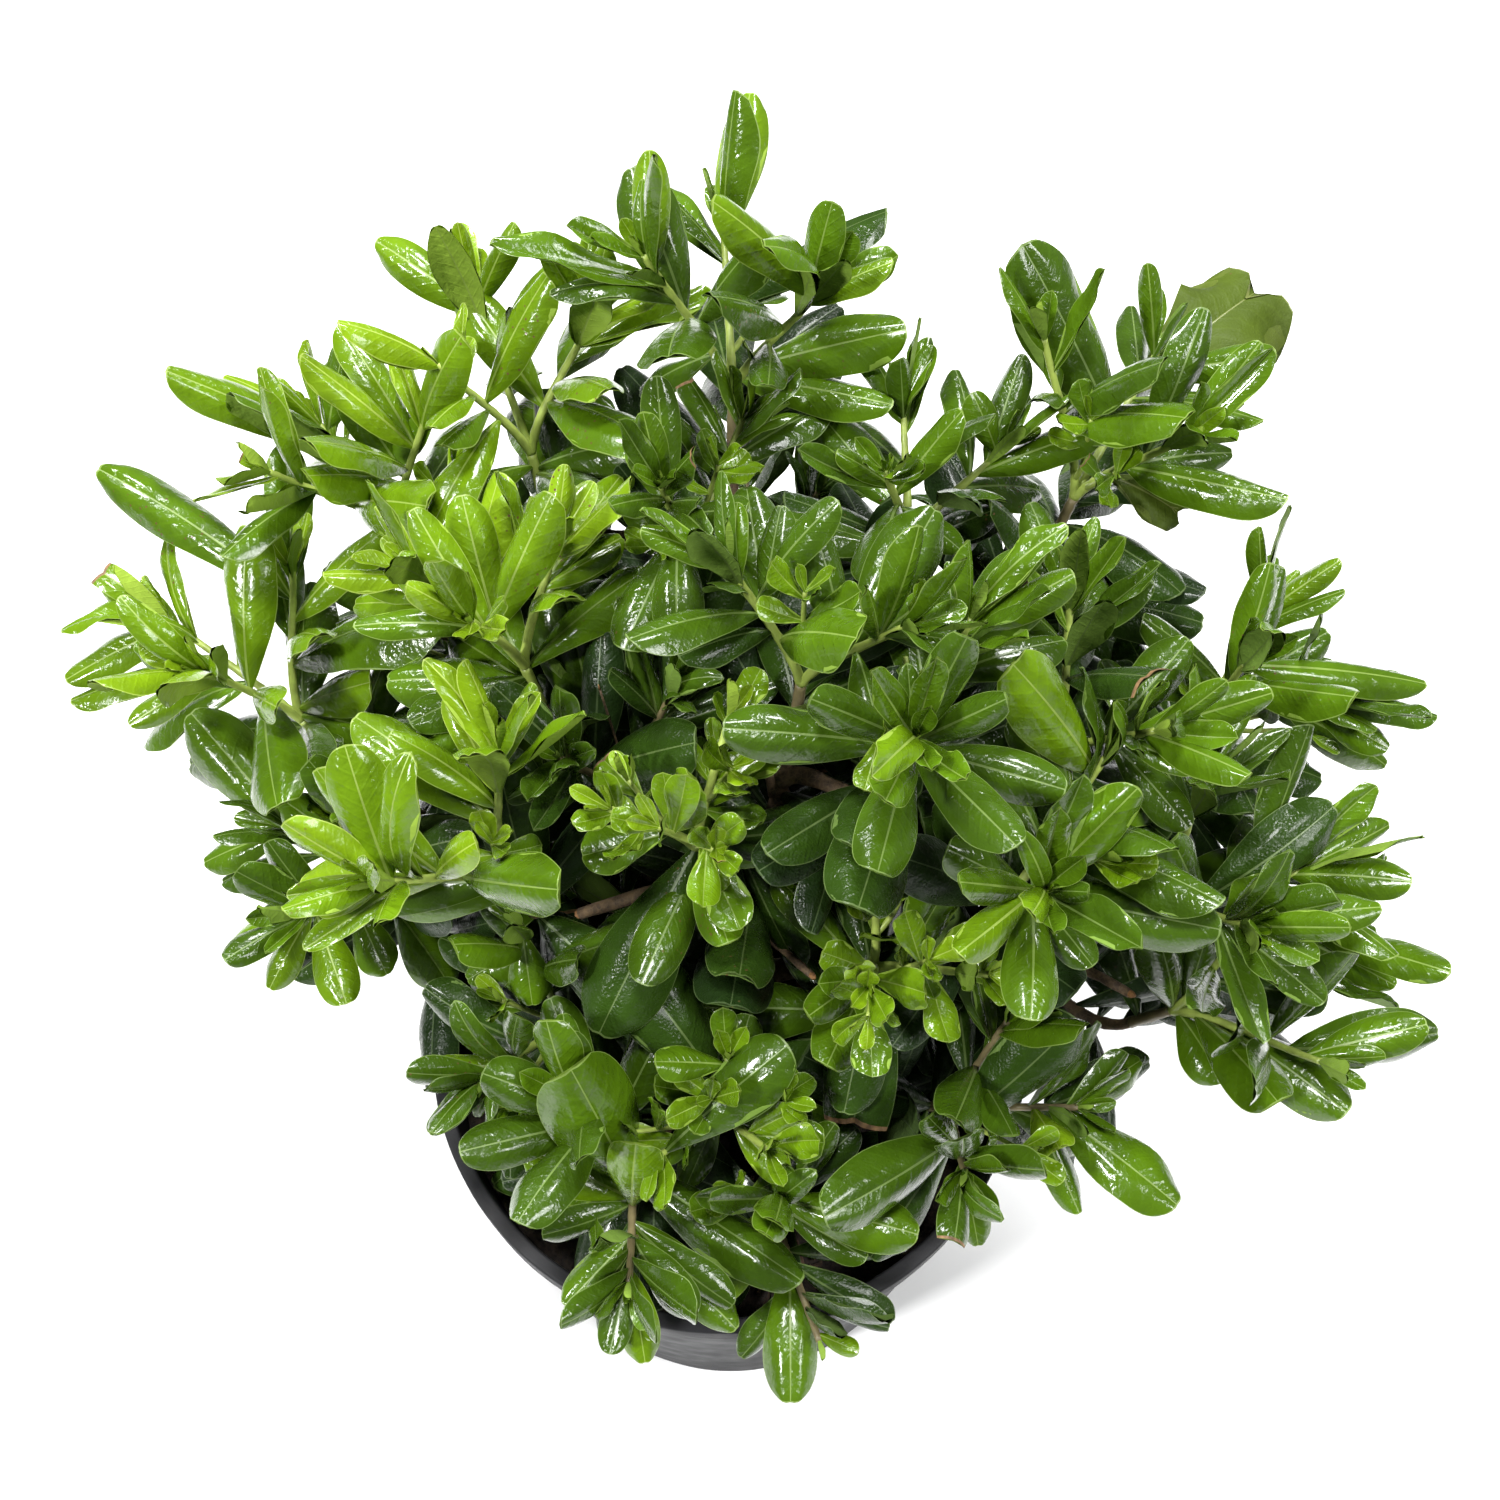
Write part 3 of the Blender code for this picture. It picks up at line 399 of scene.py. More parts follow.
# A leaf's shape: width beside its length, how far out its widest place lies, how it folds, rolls, bends,
# twists and waves, the notch in its tip, and the share of its length that is left
Form = namedtuple("Form", "width belly fold roll bend twist wave notch cut")
Blade = namedtuple("Blade", "root along normal length age phase " + " ".join(Form._fields))
FORMS = {
    "broad": Form(0.355, 0.84, 0.02, 0.48, 0.40, 0.25, 0.10, 0.008, 1.0),
    "long": Form(0.29, 0.68, 0.04, 0.58, 0.30, 0.45, 0.12, 0.004, 1.0),
    "curled": Form(0.29, 0.72, 0.62, 0.25, -0.20, 0.70, 0.20, 0.0, 1.0),
    "hooked": Form(0.27, 0.70, 0.35, 0.45, 1.15, 0.80, 0.25, 0.0, 1.0),
    "torn": Form(0.60, 1.50, 0.05, 0.20, 0.35, 0.30, 0.30, 0.28, 1.0),
    "cut": Form(0.34, 0.70, 0.05, 0.30, 0.30, 0.20, 0.10, 0.0, 0.78),
    "small": Form(0.52, 1.00, 0.32, 0.25, -0.35, 0.35, 0.14, 0.010, 1.0),
    "tiny": Form(0.44, 0.90, 0.60, 0.15, -0.45, 0.20, 0.08, 0.0, 1.0),
}
DAMAGED = 0.012  # share of the leaves whose tip is gone or dead

# Tints from the youngest to the oldest: blade, midrib and margin, underside, roughness, puckers, slot
Tint = namedtuple("Tint", "name blade rib under roughness puckers slot")
# The underside colours are the leaves' own paler undersides with painted light added: lightened to stand in
# for light that shines through the leaf.
TINTS = (
    Tint("fresh", (0.215, 0.325, 0.010), (0.34, 0.44, 0.08), (0.28, 0.39, 0.05), 0.27, 0.2, "young_leaves"),
    Tint("lime", (0.138, 0.234, 0.005), (0.26, 0.35, 0.055), (0.24, 0.35, 0.04), 0.22, 0.2, "young_leaves"),
    Tint("light", (0.087, 0.163, 0.003), (0.19, 0.27, 0.045), (0.2, 0.3, 0.036), 0.18, 0.25, "young_leaves"),
    Tint("mid", (0.053, 0.109, 0.003), (0.14, 0.21, 0.038), (0.16, 0.25, 0.034), 0.17, 0.3, "leaves"),
    Tint("green", (0.032, 0.068, 0.003), (0.10, 0.155, 0.032), (0.12, 0.195, 0.032), 0.17, 0.4, "leaves"),
    Tint("deep", (0.018, 0.041, 0.004), (0.075, 0.115, 0.03), (0.09, 0.145, 0.032), 0.24, 0.8, "old_leaves"),
    Tint("old", (0.011, 0.025, 0.005), (0.052, 0.082, 0.028), (0.06, 0.100, 0.026), 0.30, 0.9, "old_leaves"),
    Tint("olive", (0.046, 0.070, 0.006), (0.11, 0.13, 0.03), (0.060, 0.084, 0.010), 0.55, 0.6, "old_leaves"),
    Tint("dry", (0.150, 0.078, 0.028), (0.20, 0.11, 0.045), (0.11, 0.062, 0.028), 0.70, 0.8, "old_leaves"),
)
BROWN = (0.15, 0.085, 0.035)
# Stems: the age up to which each colour holds, its name and the colour
STEM_COLOURS = (
    (2.4, "young", (0.34, 0.43, 0.085)),
    (4.2, "green", (0.25, 0.32, 0.06)),
    (99, "woody", (0.16, 0.13, 0.06)),
)


def polar(radius, angle, z=0.0):
    """A point at a radius and an angle round the upright axis."""
    return radius * math.cos(angle), radius * math.sin(angle), z


def across(direction, towards):
    """Unit vector at right angles to direction, on the side of another vector."""
    return (towards - direction * towards.dot(direction)).normalized()


def sides_of(axis, towards=None):
    """Two directions square to an axis and to each other, the first towards a third or else upwards."""
    if towards is None:
        towards = UP if abs(axis.z) < NEARLY_UPRIGHT else Vector((1, 0, 0))
    first = across(axis, towards)
    return first, axis.cross(first)


def turned_to(sides, angle):
    """Direction at an angle from the first of two sides, towards the second."""
    first, second = sides
    return first * math.cos(angle) + second * math.sin(angle)


def leaning(axis, sides, angle, spread):
    """Direction that leaves an axis by an angle of spread, on the side that an angle round it gives."""
    return axis * math.cos(spread) + turned_to(sides, angle) * math.sin(spread)


def on_cubic(handles, t):
    start, first, last, end = handles
    u = 1 - t
    return start * u**3 + first * 3 * u * u * t + last * 3 * u * t * t + end * t**3


def on_line(line, share):
    place = share * (len(line) - 1)
    before = min(int(place), len(line) - 2)
    return line[before].lerp(line[before + 1], place - before)


def bent_line(foot, tip, leaves, count):
    """From foot to tip, on a curve that sets out in another direction."""
    reach = (tip - foot).length
    handles = (foot, foot + leaves * reach * 0.3, tip - (tip - foot) * 0.35, tip)
    return [on_cubic(handles, i / (count - 1)) for i in range(count)]


def tilted(direction, draw, most):
    """A direction turned a little, at random."""
    nudge = Vector((draw.gauss(0, 1), draw.gauss(0, 1), draw.gauss(0, 1)))
    return (direction + nudge * most).normalized()


def outward(mass):
    return Vector(polar(1, math.radians(mass.azimuth)))


def heading(mass):
    """Direction in which a mass grows: upright in the middle of the crown, spreading at its sides."""
    lean = LEAN_SHARE * math.atan2(mass.reach, mass.height - CROWN_FOOT_Z)
    return outward(mass) * math.sin(lean) + UP * math.cos(lean)


def shoot_length(mass):
    return SHOOT_BASE + SHOOT_PER_LEAF * mass.leaf


def fork_of(mass):
    """Where a mass's stem forks into its shoots."""
    tips = outward(mass) * mass.reach + UP * mass.height
    return tips - heading(mass) * shoot_length(mass) * math.cos(FORK_ANGLE)


def stem_foot(mass):
    return fork_of(mass) - heading(mass) * STEM_LENGTH


def trunk_point(share):
    """Middle of the trunk at a share of its height, on a bowed line that leans to its top."""
    foot = Vector((0, 0, SOIL_TOP + GAP))
    return foot.lerp(TRUNK_TOP, share) + Vector((TRUNK_BOW * math.sin(math.pi * share), 0, 0))


def trunk_radius(share, angle):
    """Taper, with a lobed flare of the roots near the soil."""
    height = share * (TRUNK_TOP.z - SOIL_TOP)
    flare = FLARE * math.exp(-height / FLARE_HEIGHT) * (1 + LOBE_DEPTH * math.cos(FLARE_LOBES * angle))
    return TRUNK_FOOT_RADIUS + (TRUNK_TOP_RADIUS - TRUNK_FOOT_RADIUS) * share + flare


def limb_of(mass, carriers):
    """Middle line and radii of the bough that ends at a mass, as in the solids, and its curve's handles."""
    end = stem_foot(mass) - heading(mass) * GAP
    if mass.carrier == "trunk":
        start = trunk_point(LOWEST_BOUGH + (1 - LOWEST_BOUGH) * mass.share)
        leaves = outward(mass) * math.cos(BOUGH_RISE) + UP * math.sin(BOUGH_RISE)
        if mass.share == 1:
            start, leaves = TRUNK_TOP - UP * BOUGH_BASE_RADIUS, UP
        count, thick, thin = BOUGH_POINTS, BOUGH_BASE_RADIUS, BOUGH_TIP_RADIUS
    else:
        line = carriers[mass.carrier].points
        start = on_line(line, mass.share)
        before = int(mass.share * (len(line) - 1))
        leaves = (line[before + 1] - line[before]).normalized() + (end - start).normalized()
        leaves.normalize()
        count, thick, thin = SIDE_POINTS, SIDE_BASE_RADIUS, SIDE_TIP_RADIUS
    bend = end - heading(mass) * STRAIGHT_TIP
    span = (bend - start).length * BOUGH_CURVE
    handles = (start, start + leaves * span, bend - heading(mass) * span, bend)
    points = [on_cubic(handles, i / (count - 1)) for i in range(count)]
    return Limb(points + [end], (thick, thin), handles)


def twigs_and_leaves(mass):
    """A mass's stem and shoots, each with its leaves, drawn as the solids' source draws them."""
    draw = random.Random(mass.name)
    grows = heading(mass)
    fork = fork_of(mass)
    sides = sides_of(grows, outward(mass))

    whorl = []
    turn = draw.uniform(0, math.tau)
    for i in range(WHORL_LEAVES):
        angle = turn + math.tau * i / WHORL_LEAVES + draw.uniform(-0.3, 0.3)
        along = leaning(grows, sides, angle, WHORL_SPREAD + draw.uniform(-0.12, 0.12))
        root = fork - grows * STEM_LENGTH * (WHORL_TOP + WHORL_STEP * i)
        length = mass.leaf * WHORL_GROWTH * draw.uniform(0.9, 1.1)
        whorl.append(Leaf(root, along, across(along, grows), length))
    groups = [(Twig(stem_foot(mass), fork), whorl)]

    for number in range(mass.shoots):
        turn = math.radians(mass.spin) + math.tau * number / mass.shoots + draw.uniform(-0.25, 0.25)
        shoot_along = leaning(grows, sides, turn, FORK_ANGLE + draw.uniform(-0.10, 0.10))
        length = shoot_length(mass) * draw.uniform(0.88, 1.10)
        shoot_sides = sides_of(shoot_along, UP)
        start = draw.uniform(0, math.tau)
        leaves = []
        count = SHOOT_LEAVES[mass.shoots]
        for i in range(count):
            t = i / (count - 1)
            spread = LOWEST_LEAF + (HIGHEST_LEAF - LOWEST_LEAF) * t + draw.uniform(-0.12, 0.12)
            along = leaning(shoot_along, shoot_sides, start + GOLDEN_ANGLE * i, spread)
            place = BARE_SHARE + (LAST_LEAF_SHARE - BARE_SHARE) * t**LEAF_CROWDING
            root = fork + shoot_along * length * place
            leaf_length = mass.leaf * (1 + (TOP_LEAF_SHARE - 1) * t) * draw.uniform(0.88, 1.12)
            leaves.append(Leaf(root, along, across(along, shoot_along), leaf_length))
        groups.append((Twig(fork, fork + shoot_along * length), leaves))
    return groups


def seen_place(across_frame, down_frame, height):
    """The place at a height that shows at a point of the camera's frame."""
    ahead = Vector((0, math.cos(CAMERA_DOWN), -math.sin(CAMERA_DOWN)))
    above = Vector((0, math.sin(CAMERA_DOWN), math.cos(CAMERA_DOWN)))
    ray = ahead + Vector((across_frame - 0.5, 0, 0)) + above * (0.5 - down_frame)
    return Vector(CAMERA_PLACE) + ray * ((height - CAMERA_PLACE[2]) / ray.z)


def clear_of_pot(point):
    """True outside the pot and its rim, or above the soil inside it."""
    reach = math.hypot(point[0], point[1])
    if point[2] > POT_HEIGHT + TOUCH:
        return True
    if reach < RIM_RADIUS - RIM_LIP - 2 * TOUCH:
        return point[2] > SOIL_TOP + TOUCH
    return reach > RIM_RADIUS + TOUCH


def outline_share(share, belly):
    """Half width of a blade at a share of its length, beside its greatest half width."""

    def height(at):
        return (BLADE_FOOT + at**belly) * np.clip(1 - at * at, 0, 1) ** TIP_TAPER

    return height(share) / height(np.linspace(0, 1, 101)[:, None]).max(0)


def blade_points(blades, rows, strips):
    """Places on the upper sides of blades: an array of blades, rows and columns of points."""

    def each(field):
        return np.array([getattr(blade, field) for blade in blades], float)[:, None, None]

    def direction(field):
        return np.array([getattr(blade, field) for blade in blades], float)[:, None, None, :]

    length, belly, fold, bend = each("length"), each("belly"), each("fold"), each("bend")
    s = (1 - np.linspace(1, 0, rows) ** TIP_CROWDING)[None, :, None] * each("cut")
    hump = np.sin(math.pi * s)
    bow = TIP_BOW * s**TIP_POWER
    edge = s + LIFT * hump - bow
    half = np.stack([outline_share(e, b) for e, b in zip(edge[..., 0], belly[:, 0, 0])])[..., None]
    half = np.maximum(half * length * each("width") / 2, LEAST_HALF_WIDTH)
    margin = np.minimum(MARGIN, MARGIN_SHARE * half)
    rib = np.minimum(RIB_FOOT + (RIB_TIP - RIB_FOOT) * s, RIB_SHARE * half)
    rib = rib * np.minimum(1, length / FULL_RIB_LENGTH)
    inner = [rib + (half - margin - rib) * k / strips for k in range(strips + 1)]
    right = np.concatenate(inner + [half], 2)
    away = np.concatenate([-right[..., ::-1], right], 2)
    x = np.abs(away / half)

    puckers = np.where(np.arange(rows) % 2, 1, -1)[None, :, None]
    rise = fold * x + SHOULDER * np.sin(math.pi * x**SHOULDER_POWER) - each("roll") * x**ROLL_POWER
    rise = rise + each("wave") * x * x * np.sin(WAVES * math.pi * s + each("phase"))
    rise = rise * half + PUCKER * length * puckers * 4 * x * (1 - x) * hump
    forward = LIFT * hump * x - bow * x * x
    forward = (forward - each("notch") * np.exp(-((x / NOTCH_WIDTH) ** 2)) * s**NOTCH_POWER) * length
    away = away / np.sqrt(1 + fold**2)

    slope = bend * (0.5 - s)
    bend = np.where(np.abs(bend) < LEAST_BEND, LEAST_BEND, bend)
    run = (np.sin(bend / 2) - np.sin(bend * (0.5 - s))) / bend * length
    climb = (np.cos(bend * (0.5 - s)) - np.cos(bend / 2)) / bend * length
    turn = each("twist") * (s - TWIST_FROM)
    sideways = away * np.cos(turn) - rise * np.sin(turn)
    upwards = away * np.sin(turn) + rise * np.cos(turn)
    on = run + forward * np.cos(slope) - upwards * np.sin(slope)
    off = climb + forward * np.sin(slope) + upwards * np.cos(slope)

    along, normal = direction("along"), direction("normal")
    side = np.cross(along, normal)
    points = direction("root") + along * on[..., None] + normal * off[..., None] + side * sideways[..., None]
    own = np.stack([np.sign(away) * x, np.broadcast_to(s, x.shape)], -1)
    return points, own


def grid_faces(corner):
    """Faces between the neighbours in an array of point numbers."""
    faces = np.stack([corner[:-1, :-1], corner[1:, :-1], corner[1:, 1:], corner[:-1, 1:]], 2)
    return faces.reshape(-1, 4)


def numbered(rows, columns):
    return np.arange(rows * columns).reshape(rows, columns)


def closed_rings(rings, sides, first=0):
    """Point numbers of closed rings, a row for each, with the ring's first point again at the end."""
    corner = first + numbered(rings, sides)
    return np.hstack([corner, corner[:, :1]])


def tube_faces(rings, sides):
    """Faces between rings of points, and a flat one over each end."""
    corner = closed_rings(rings, sides)
    return [*grid_faces(corner.T).tolist(), corner[0, -2::-1].tolist(), corner[-1, :-1].tolist()]


def tube(points, radii, sides, relief=None):
    """Points and faces of a tube round a line; relief adds to the radius at each point."""
    surface = []
    side = (points[1] - points[0]).normalized().orthogonal().normalized()
    for i, (point, radius) in enumerate(zip(points, radii)):
        before, after = points[max(i - 1, 0)], points[min(i + 1, len(points) - 1)]
        ahead = (after - before).normalized()
        side = across(ahead, side)
        for k in range(sides):
            out = turned_to((side, ahead.cross(side)), math.tau * k / sides)
            swell = relief(point + out * radius) if relief else 0
            surface.append(point + out * (radius + swell))
    return surface, tube_faces(len(points), sides)


def joined(parts):
    """One list of points and one of faces, from several."""
    points, faces = [], []
    for some_points, some_faces in parts:
        start = len(points)
        points.extend(some_points)
        faces.extend([start + corner for corner in face] for face in some_faces)
    return points, faces


def bark_relief(depth):
    def relief(point):
        ridges = noise.noise(Vector([along * many for along, many in zip(point, BARK_RIDGES)]))
        lumps = noise.noise(point * BARK_LUMPS)
        return depth * (RIDGE_SHARE * ridges + LUMP_SHARE * lumps)

    return relief


def blade_mesh(blades, rows, strips):
    """Blades with midrib, margin and underside, some with a dead tip: points, faces, kinds, own places."""
    points, own = blade_points(blades, rows, strips)
    count, columns = len(blades), 2 * (strips + 2)
    kind = np.full((rows - 1, columns - 1), BLADE)
    kind[:, [0, strips + 1, -1]] = RIB
    kind[-1, :] = RIB
    kinds = np.tile(kind.reshape(-1), (count, 1))
    kinds[[blade.cut < 1 for blade in blades], -DEAD_ROWS * (columns - 1) :] = DEAD

    step = (rows - 1) // UNDERSIDE_ROWS
    some_columns = [0, 2, strips + 1, strips + 2, columns - 3, columns - 1]
    drop = np.array(UNDERSIDE_DROP) * BLADE_THICKNESS
    normal = np.array([blade.normal for blade in blades])[:, None, None, :]
    under = points[:, ::step][:, :, some_columns] - normal * drop[None, None, :, None]
    under_own = own[:, ::step][:, :, some_columns]
    low_kind = np.full((UNDERSIDE_ROWS, len(some_columns) - 1), UNDERSIDE)
    low_kind[:, 2] = RIB

    size, under_size = rows * columns, (UNDERSIDE_ROWS + 1) * len(some_columns)
    low = grid_faces(numbered(UNDERSIDE_ROWS + 1, len(some_columns)))[:, ::-1]
    faces = np.concatenate([grid_faces(numbered(rows, columns)), low + size])
    faces = faces[None] + (np.arange(count) * (size + under_size))[:, None, None]
    points = np.concatenate([points.reshape(count, size, 3), under.reshape(count, under_size, 3)], 1)
    own = np.concatenate([own.reshape(count, size, 2), under_own.reshape(count, under_size, 2)], 1)
    kinds = np.concatenate([kinds, np.tile(low_kind.reshape(-1), (count, 1))], 1)
    return points.reshape(-1, 3), faces.reshape(-1, 4), kinds.reshape(-1), own.reshape(-1, 2)


def add_piece(name, points, faces, materials, slot, nodes=(), kinds=None, own=None, smooth=True):
    """A visible piece, in place of the solids' nodes that it stands for. The slot that it is given is not
    used.
    """
    mesh = bpy.data.meshes.new(name)
    mesh.from_pydata(np.asarray(points).tolist(), [], [list(face) for face in faces])
    for material in materials:
        mesh.materials.append(material)
    if kinds is not None:
        mesh.polygons.foreach_set("material_index", np.asarray(kinds, np.int32))
    if own is not None:
        layer = mesh.uv_layers.new(name="blade")
        layer.data.foreach_set("uv", own[np.asarray(faces).reshape(-1)].reshape(-1).astype(np.float32))
    if smooth:
        mesh.shade_smooth()
    mesh.update()
    piece = bpy.data.objects.new(name, mesh)
    bpy.context.scene.collection.objects.link(piece)
    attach(piece, "root")
    if nodes:
        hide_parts(*nodes)
    return mesh


class Nodes:
    """A material's shader nodes, added one after another."""

    def __init__(self, name, colour, roughness):
        self.material = bpy.data.materials.new(name)
        self.material.use_nodes = True
        self.material.diffuse_color = (*colour, 1)
        self.tree = self.material.node_tree
        self.shader = self.tree.nodes["Principled BSDF"]
        self.to("Base Color", (*colour, 1))
        self.to("Roughness", roughness)
        self.places = self.add("ShaderNodeTexCoord").outputs

    def join(self, socket, value):
        """Gives a socket a number or a colour, or another node's output."""
        if isinstance(value, bpy.types.NodeSocket):
            self.tree.links.new(value, socket)
        else:
            socket.default_value = value

    def to(self, name, value):
        self.join(self.shader.inputs[name], value)

    def add(self, kind, inputs=None, **settings):
        node = self.tree.nodes.new(kind)
        for name, value in settings.items():
            setattr(node, name, value)
        for name, value in (inputs or {}).items():
            self.join(node.inputs[name], value)
        return node

    def noise(self, scale, detail, stretch=None):
        place = self.places["Object"]
        if stretch:
            place = self.add("ShaderNodeMapping", {"Vector": place, "Scale": stretch}).outputs["Vector"]
        inputs = {"Vector": place, "Scale": scale, "Detail": detail}
        return self.add("ShaderNodeTexNoise", inputs).outputs["Fac"]

    def spread(self, scale, feature="F1"):
        """Distance to the middle of the nearest of many cells, or to their edges."""
        inputs = {"Vector": self.places["Object"], "Scale": scale}
        return self.add("ShaderNodeTexVoronoi", inputs, feature=feature).outputs["Distance"]

    def cells(self, scale):
        return self.spread(scale, "DISTANCE_TO_EDGE")

    def specks(self, scale, size):
        """Small round spots: 1 inside, 0 outside."""
        return self.ranged(self.spread(scale), size * 0.8, size, 1, 0)

    def maths(self, operation, first, second=0.0, third=0.0):
        """Result of one sum; each value may be a number or another node's output."""
        node = self.add("ShaderNodeMath", operation=operation)
        for socket, value in zip(node.inputs, (first, second, third)):
            self.join(socket, value)
        return node.outputs["Value"]

    def ranged(self, value, low, high, to_low=0, to_high=1):
        inputs = {"Value": value, "From Min": low, "From Max": high, "To Min": to_low, "To Max": to_high}
        return self.add("ShaderNodeMapRange", inputs).outputs["Result"]

    def side_veins(self, pairs, wander):
        """Grooves that leave the midrib at a slant and fade towards the margin: 1 in a groove, 0 between."""
        parts = self.add("ShaderNodeSeparateXYZ", {"Vector": self.places["UV"]}).outputs
        out = self.maths("ABSOLUTE", parts["X"])
        along = self.maths("MULTIPLY_ADD", parts["Y"], pairs, self.maths("MULTIPLY", out, -1.3))
        along = self.maths("MULTIPLY_ADD", wander, 1.2, along)
        ridge = self.maths("ABSOLUTE", self.maths("SUBTRACT", self.maths("FRACT", along), 0.5))
        groove = self.ranged(ridge, 0.0, 0.16, 1, 0)
        return self.maths("MULTIPLY", groove, self.ranged(out, 0.5, 1.0, 1, 0.2))

    def mixed(self, share, *colours):
        """Colour that runs from one to the other with share; each is a colour or another node's output."""
        node = self.add("ShaderNodeMix", {"Factor": share}, data_type="RGBA")
        sockets = [socket for socket in node.inputs if socket.type == "RGBA"]
        for socket, colour in zip(sockets, colours):
            self.join(socket, (*colour, 1) if isinstance(colour, tuple) else colour)
        return next(output for output in node.outputs if output.type == "RGBA")

    def bump(self, height, distance, strength, after=None):
        inputs = {"Distance": distance, "Strength": strength, "Height": height}
        if after:
            inputs["Normal"] = after
        normal = self.add("ShaderNodeBump", inputs).outputs["Normal"]
        self.to("Normal", normal)
        return normal


def scaled(colour, factor):
    return tuple(channel * factor for channel in colour)


def leaf_material(name, colour, roughness, puckers, wax):
    """Leathery skin: lighter and darker blotches, side veins, fine cells, and wax thinner in places."""
    nodes = Nodes(name, colour, roughness)
    soft = nodes.noise(38, 2)
    veins = nodes.side_veins(SIDE_VEINS, soft)
    skin = nodes.mixed(nodes.ranged(soft, 0.35, 0.65), scaled(colour, 0.82), scaled(colour, 1.16))
    veined_skin = nodes.mixed(nodes.maths("MULTIPLY", veins, 0.16), skin, scaled(colour, 1.5))
    specks = nodes.maths("MULTIPLY", nodes.specks(260, 0.16), nodes.ranged(nodes.noise(9, 1), 0.60, 0.68))
    nodes.to("Base Color", nodes.mixed(specks, veined_skin, scaled(BROWN, 0.6)))
    nodes.to("Roughness", nodes.ranged(nodes.noise(120, 3), 0.3, 0.7, roughness - 0.07, roughness + 0.13))
    puffed = nodes.bump(nodes.noise(150, 2), 0.0016, 0.55)
    veined = nodes.bump(nodes.maths("MULTIPLY", veins, -1.0), 0.0002, 0.5, puffed)
    leathery = nodes.bump(nodes.noise(520, 3), 0.0005, 0.35, veined)
    nodes.bump(nodes.cells(620), 0.0006, puckers * 0.6, leathery)
    nodes.to("Specular IOR Level", 0.12 + 0.5 * wax)
    nodes.to("Coat Weight", wax)
    nodes.to("Coat Roughness", 0.08)
    return nodes.material


def rib_material(name, colour):
    nodes = Nodes(name, colour, 0.4)
    streaks = nodes.ranged(nodes.noise(160, 2), 0.3, 0.7)
    nodes.to("Base Color", nodes.mixed(streaks, scaled(colour, 0.88), scaled(colour, 1.08)))
    nodes.bump(nodes.noise(900, 2), 0.0002, 0.4)
    return nodes.material


def brown_material():
    nodes = Nodes("dead_leaf", BROWN, 0.7)
    spots = nodes.ranged(nodes.noise(300, 4), 0.35, 0.65)
    nodes.to("Base Color", nodes.mixed(spots, scaled(BROWN, 0.5), scaled(BROWN, 1.5)))
    nodes.bump(nodes.noise(500, 4), 0.0006, 0.7)
    return nodes.material


def bark_material(name, young, old):
    """Thin bark with pale corky flecks over the darker grain."""
    nodes = Nodes(name, old, 0.8)
    grain = nodes.noise(260, 6, (1, 1, 0.3))
    patches = nodes.mixed(nodes.ranged(nodes.noise(70, 4), 0.35, 0.65), old, young)
    flecks = nodes.ranged(nodes.cells(420), 0.0, 0.12, 1, 0)
    darker = nodes.mixed(nodes.ranged(grain, 0.35, 0.6, 0, 0.65), scaled(old, 0.4), patches)
    nodes.to("Base Color", nodes.mixed(nodes.maths("MULTIPLY", flecks, 0.35), darker, young))
    nodes.to("Roughness", nodes.ranged(grain, 0.3, 0.7, 0.68, 0.92))
    nodes.bump(grain, 0.0009, 0.9, nodes.bump(nodes.cells(380), 0.0005, 0.5))
    return nodes.material


def stem_material(name, colour):
    """Smooth green stem with faint lengthwise flecks."""
    nodes = Nodes(name, colour, 0.42)
    flecks = nodes.ranged(nodes.noise(210, 4, (1, 1, 0.35)), 0.35, 0.65)
    nodes.to("Base Color", nodes.mixed(flecks, scaled(colour, 0.72), scaled(colour, 1.12)))
    nodes.to("Roughness", nodes.ranged(nodes.noise(300, 2), 0.3, 0.7, 0.34, 0.55))
    nodes.bump(nodes.noise(700, 3), 0.0003, 0.5)
    return nodes.material


def pot_material():
    """Recycled black plastic: a soft sheen, fine scratches round the wall and dust."""
    colour = (0.015, 0.015, 0.017)
    nodes = Nodes("pot_plastic", colour, 0.6)
    nodes.to("Specular IOR Level", 0.18)
    dust = nodes.ranged(nodes.noise(22, 5), 0.45, 0.75, 0, 0.55)
    scratches = nodes.ranged(nodes.noise(90, 4, (0.3, 0.3, 3)), 0.60, 0.75, 0, 0.16)
    dusty = nodes.mixed(dust, colour, (0.029, 0.027, 0.026))
    nodes.to("Base Color", nodes.mixed(scratches, dusty, (0.046, 0.044, 0.043)))
    nodes.to("Roughness", nodes.ranged(nodes.noise(60, 4), 0.3, 0.7, 0.50, 0.68))
    nodes.bump(nodes.noise(500, 4), 0.0003, 0.5, nodes.bump(nodes.noise(30, 2), 0.001, 0.4))
    return nodes.material


def soil_material(name, dark, pale):
    nodes = Nodes(name, dark, 0.92)
    grain = nodes.noise(380, 6)
    nodes.to("Base Color", nodes.mixed(nodes.ranged(grain, 0.4, 0.65), dark, pale))
    nodes.to("Roughness", nodes.ranged(nodes.noise(90, 2), 0.3, 0.7, 0.8, 1.0))
    nodes.bump(grain, 0.0014, 0.9)
    return nodes.material


def pot_outer_radius(z):
    return POT_BASE_RADIUS + (POT_TOP_RADIUS - POT_BASE_RADIUS) * z / (POT_HEIGHT - RIM_BAND)


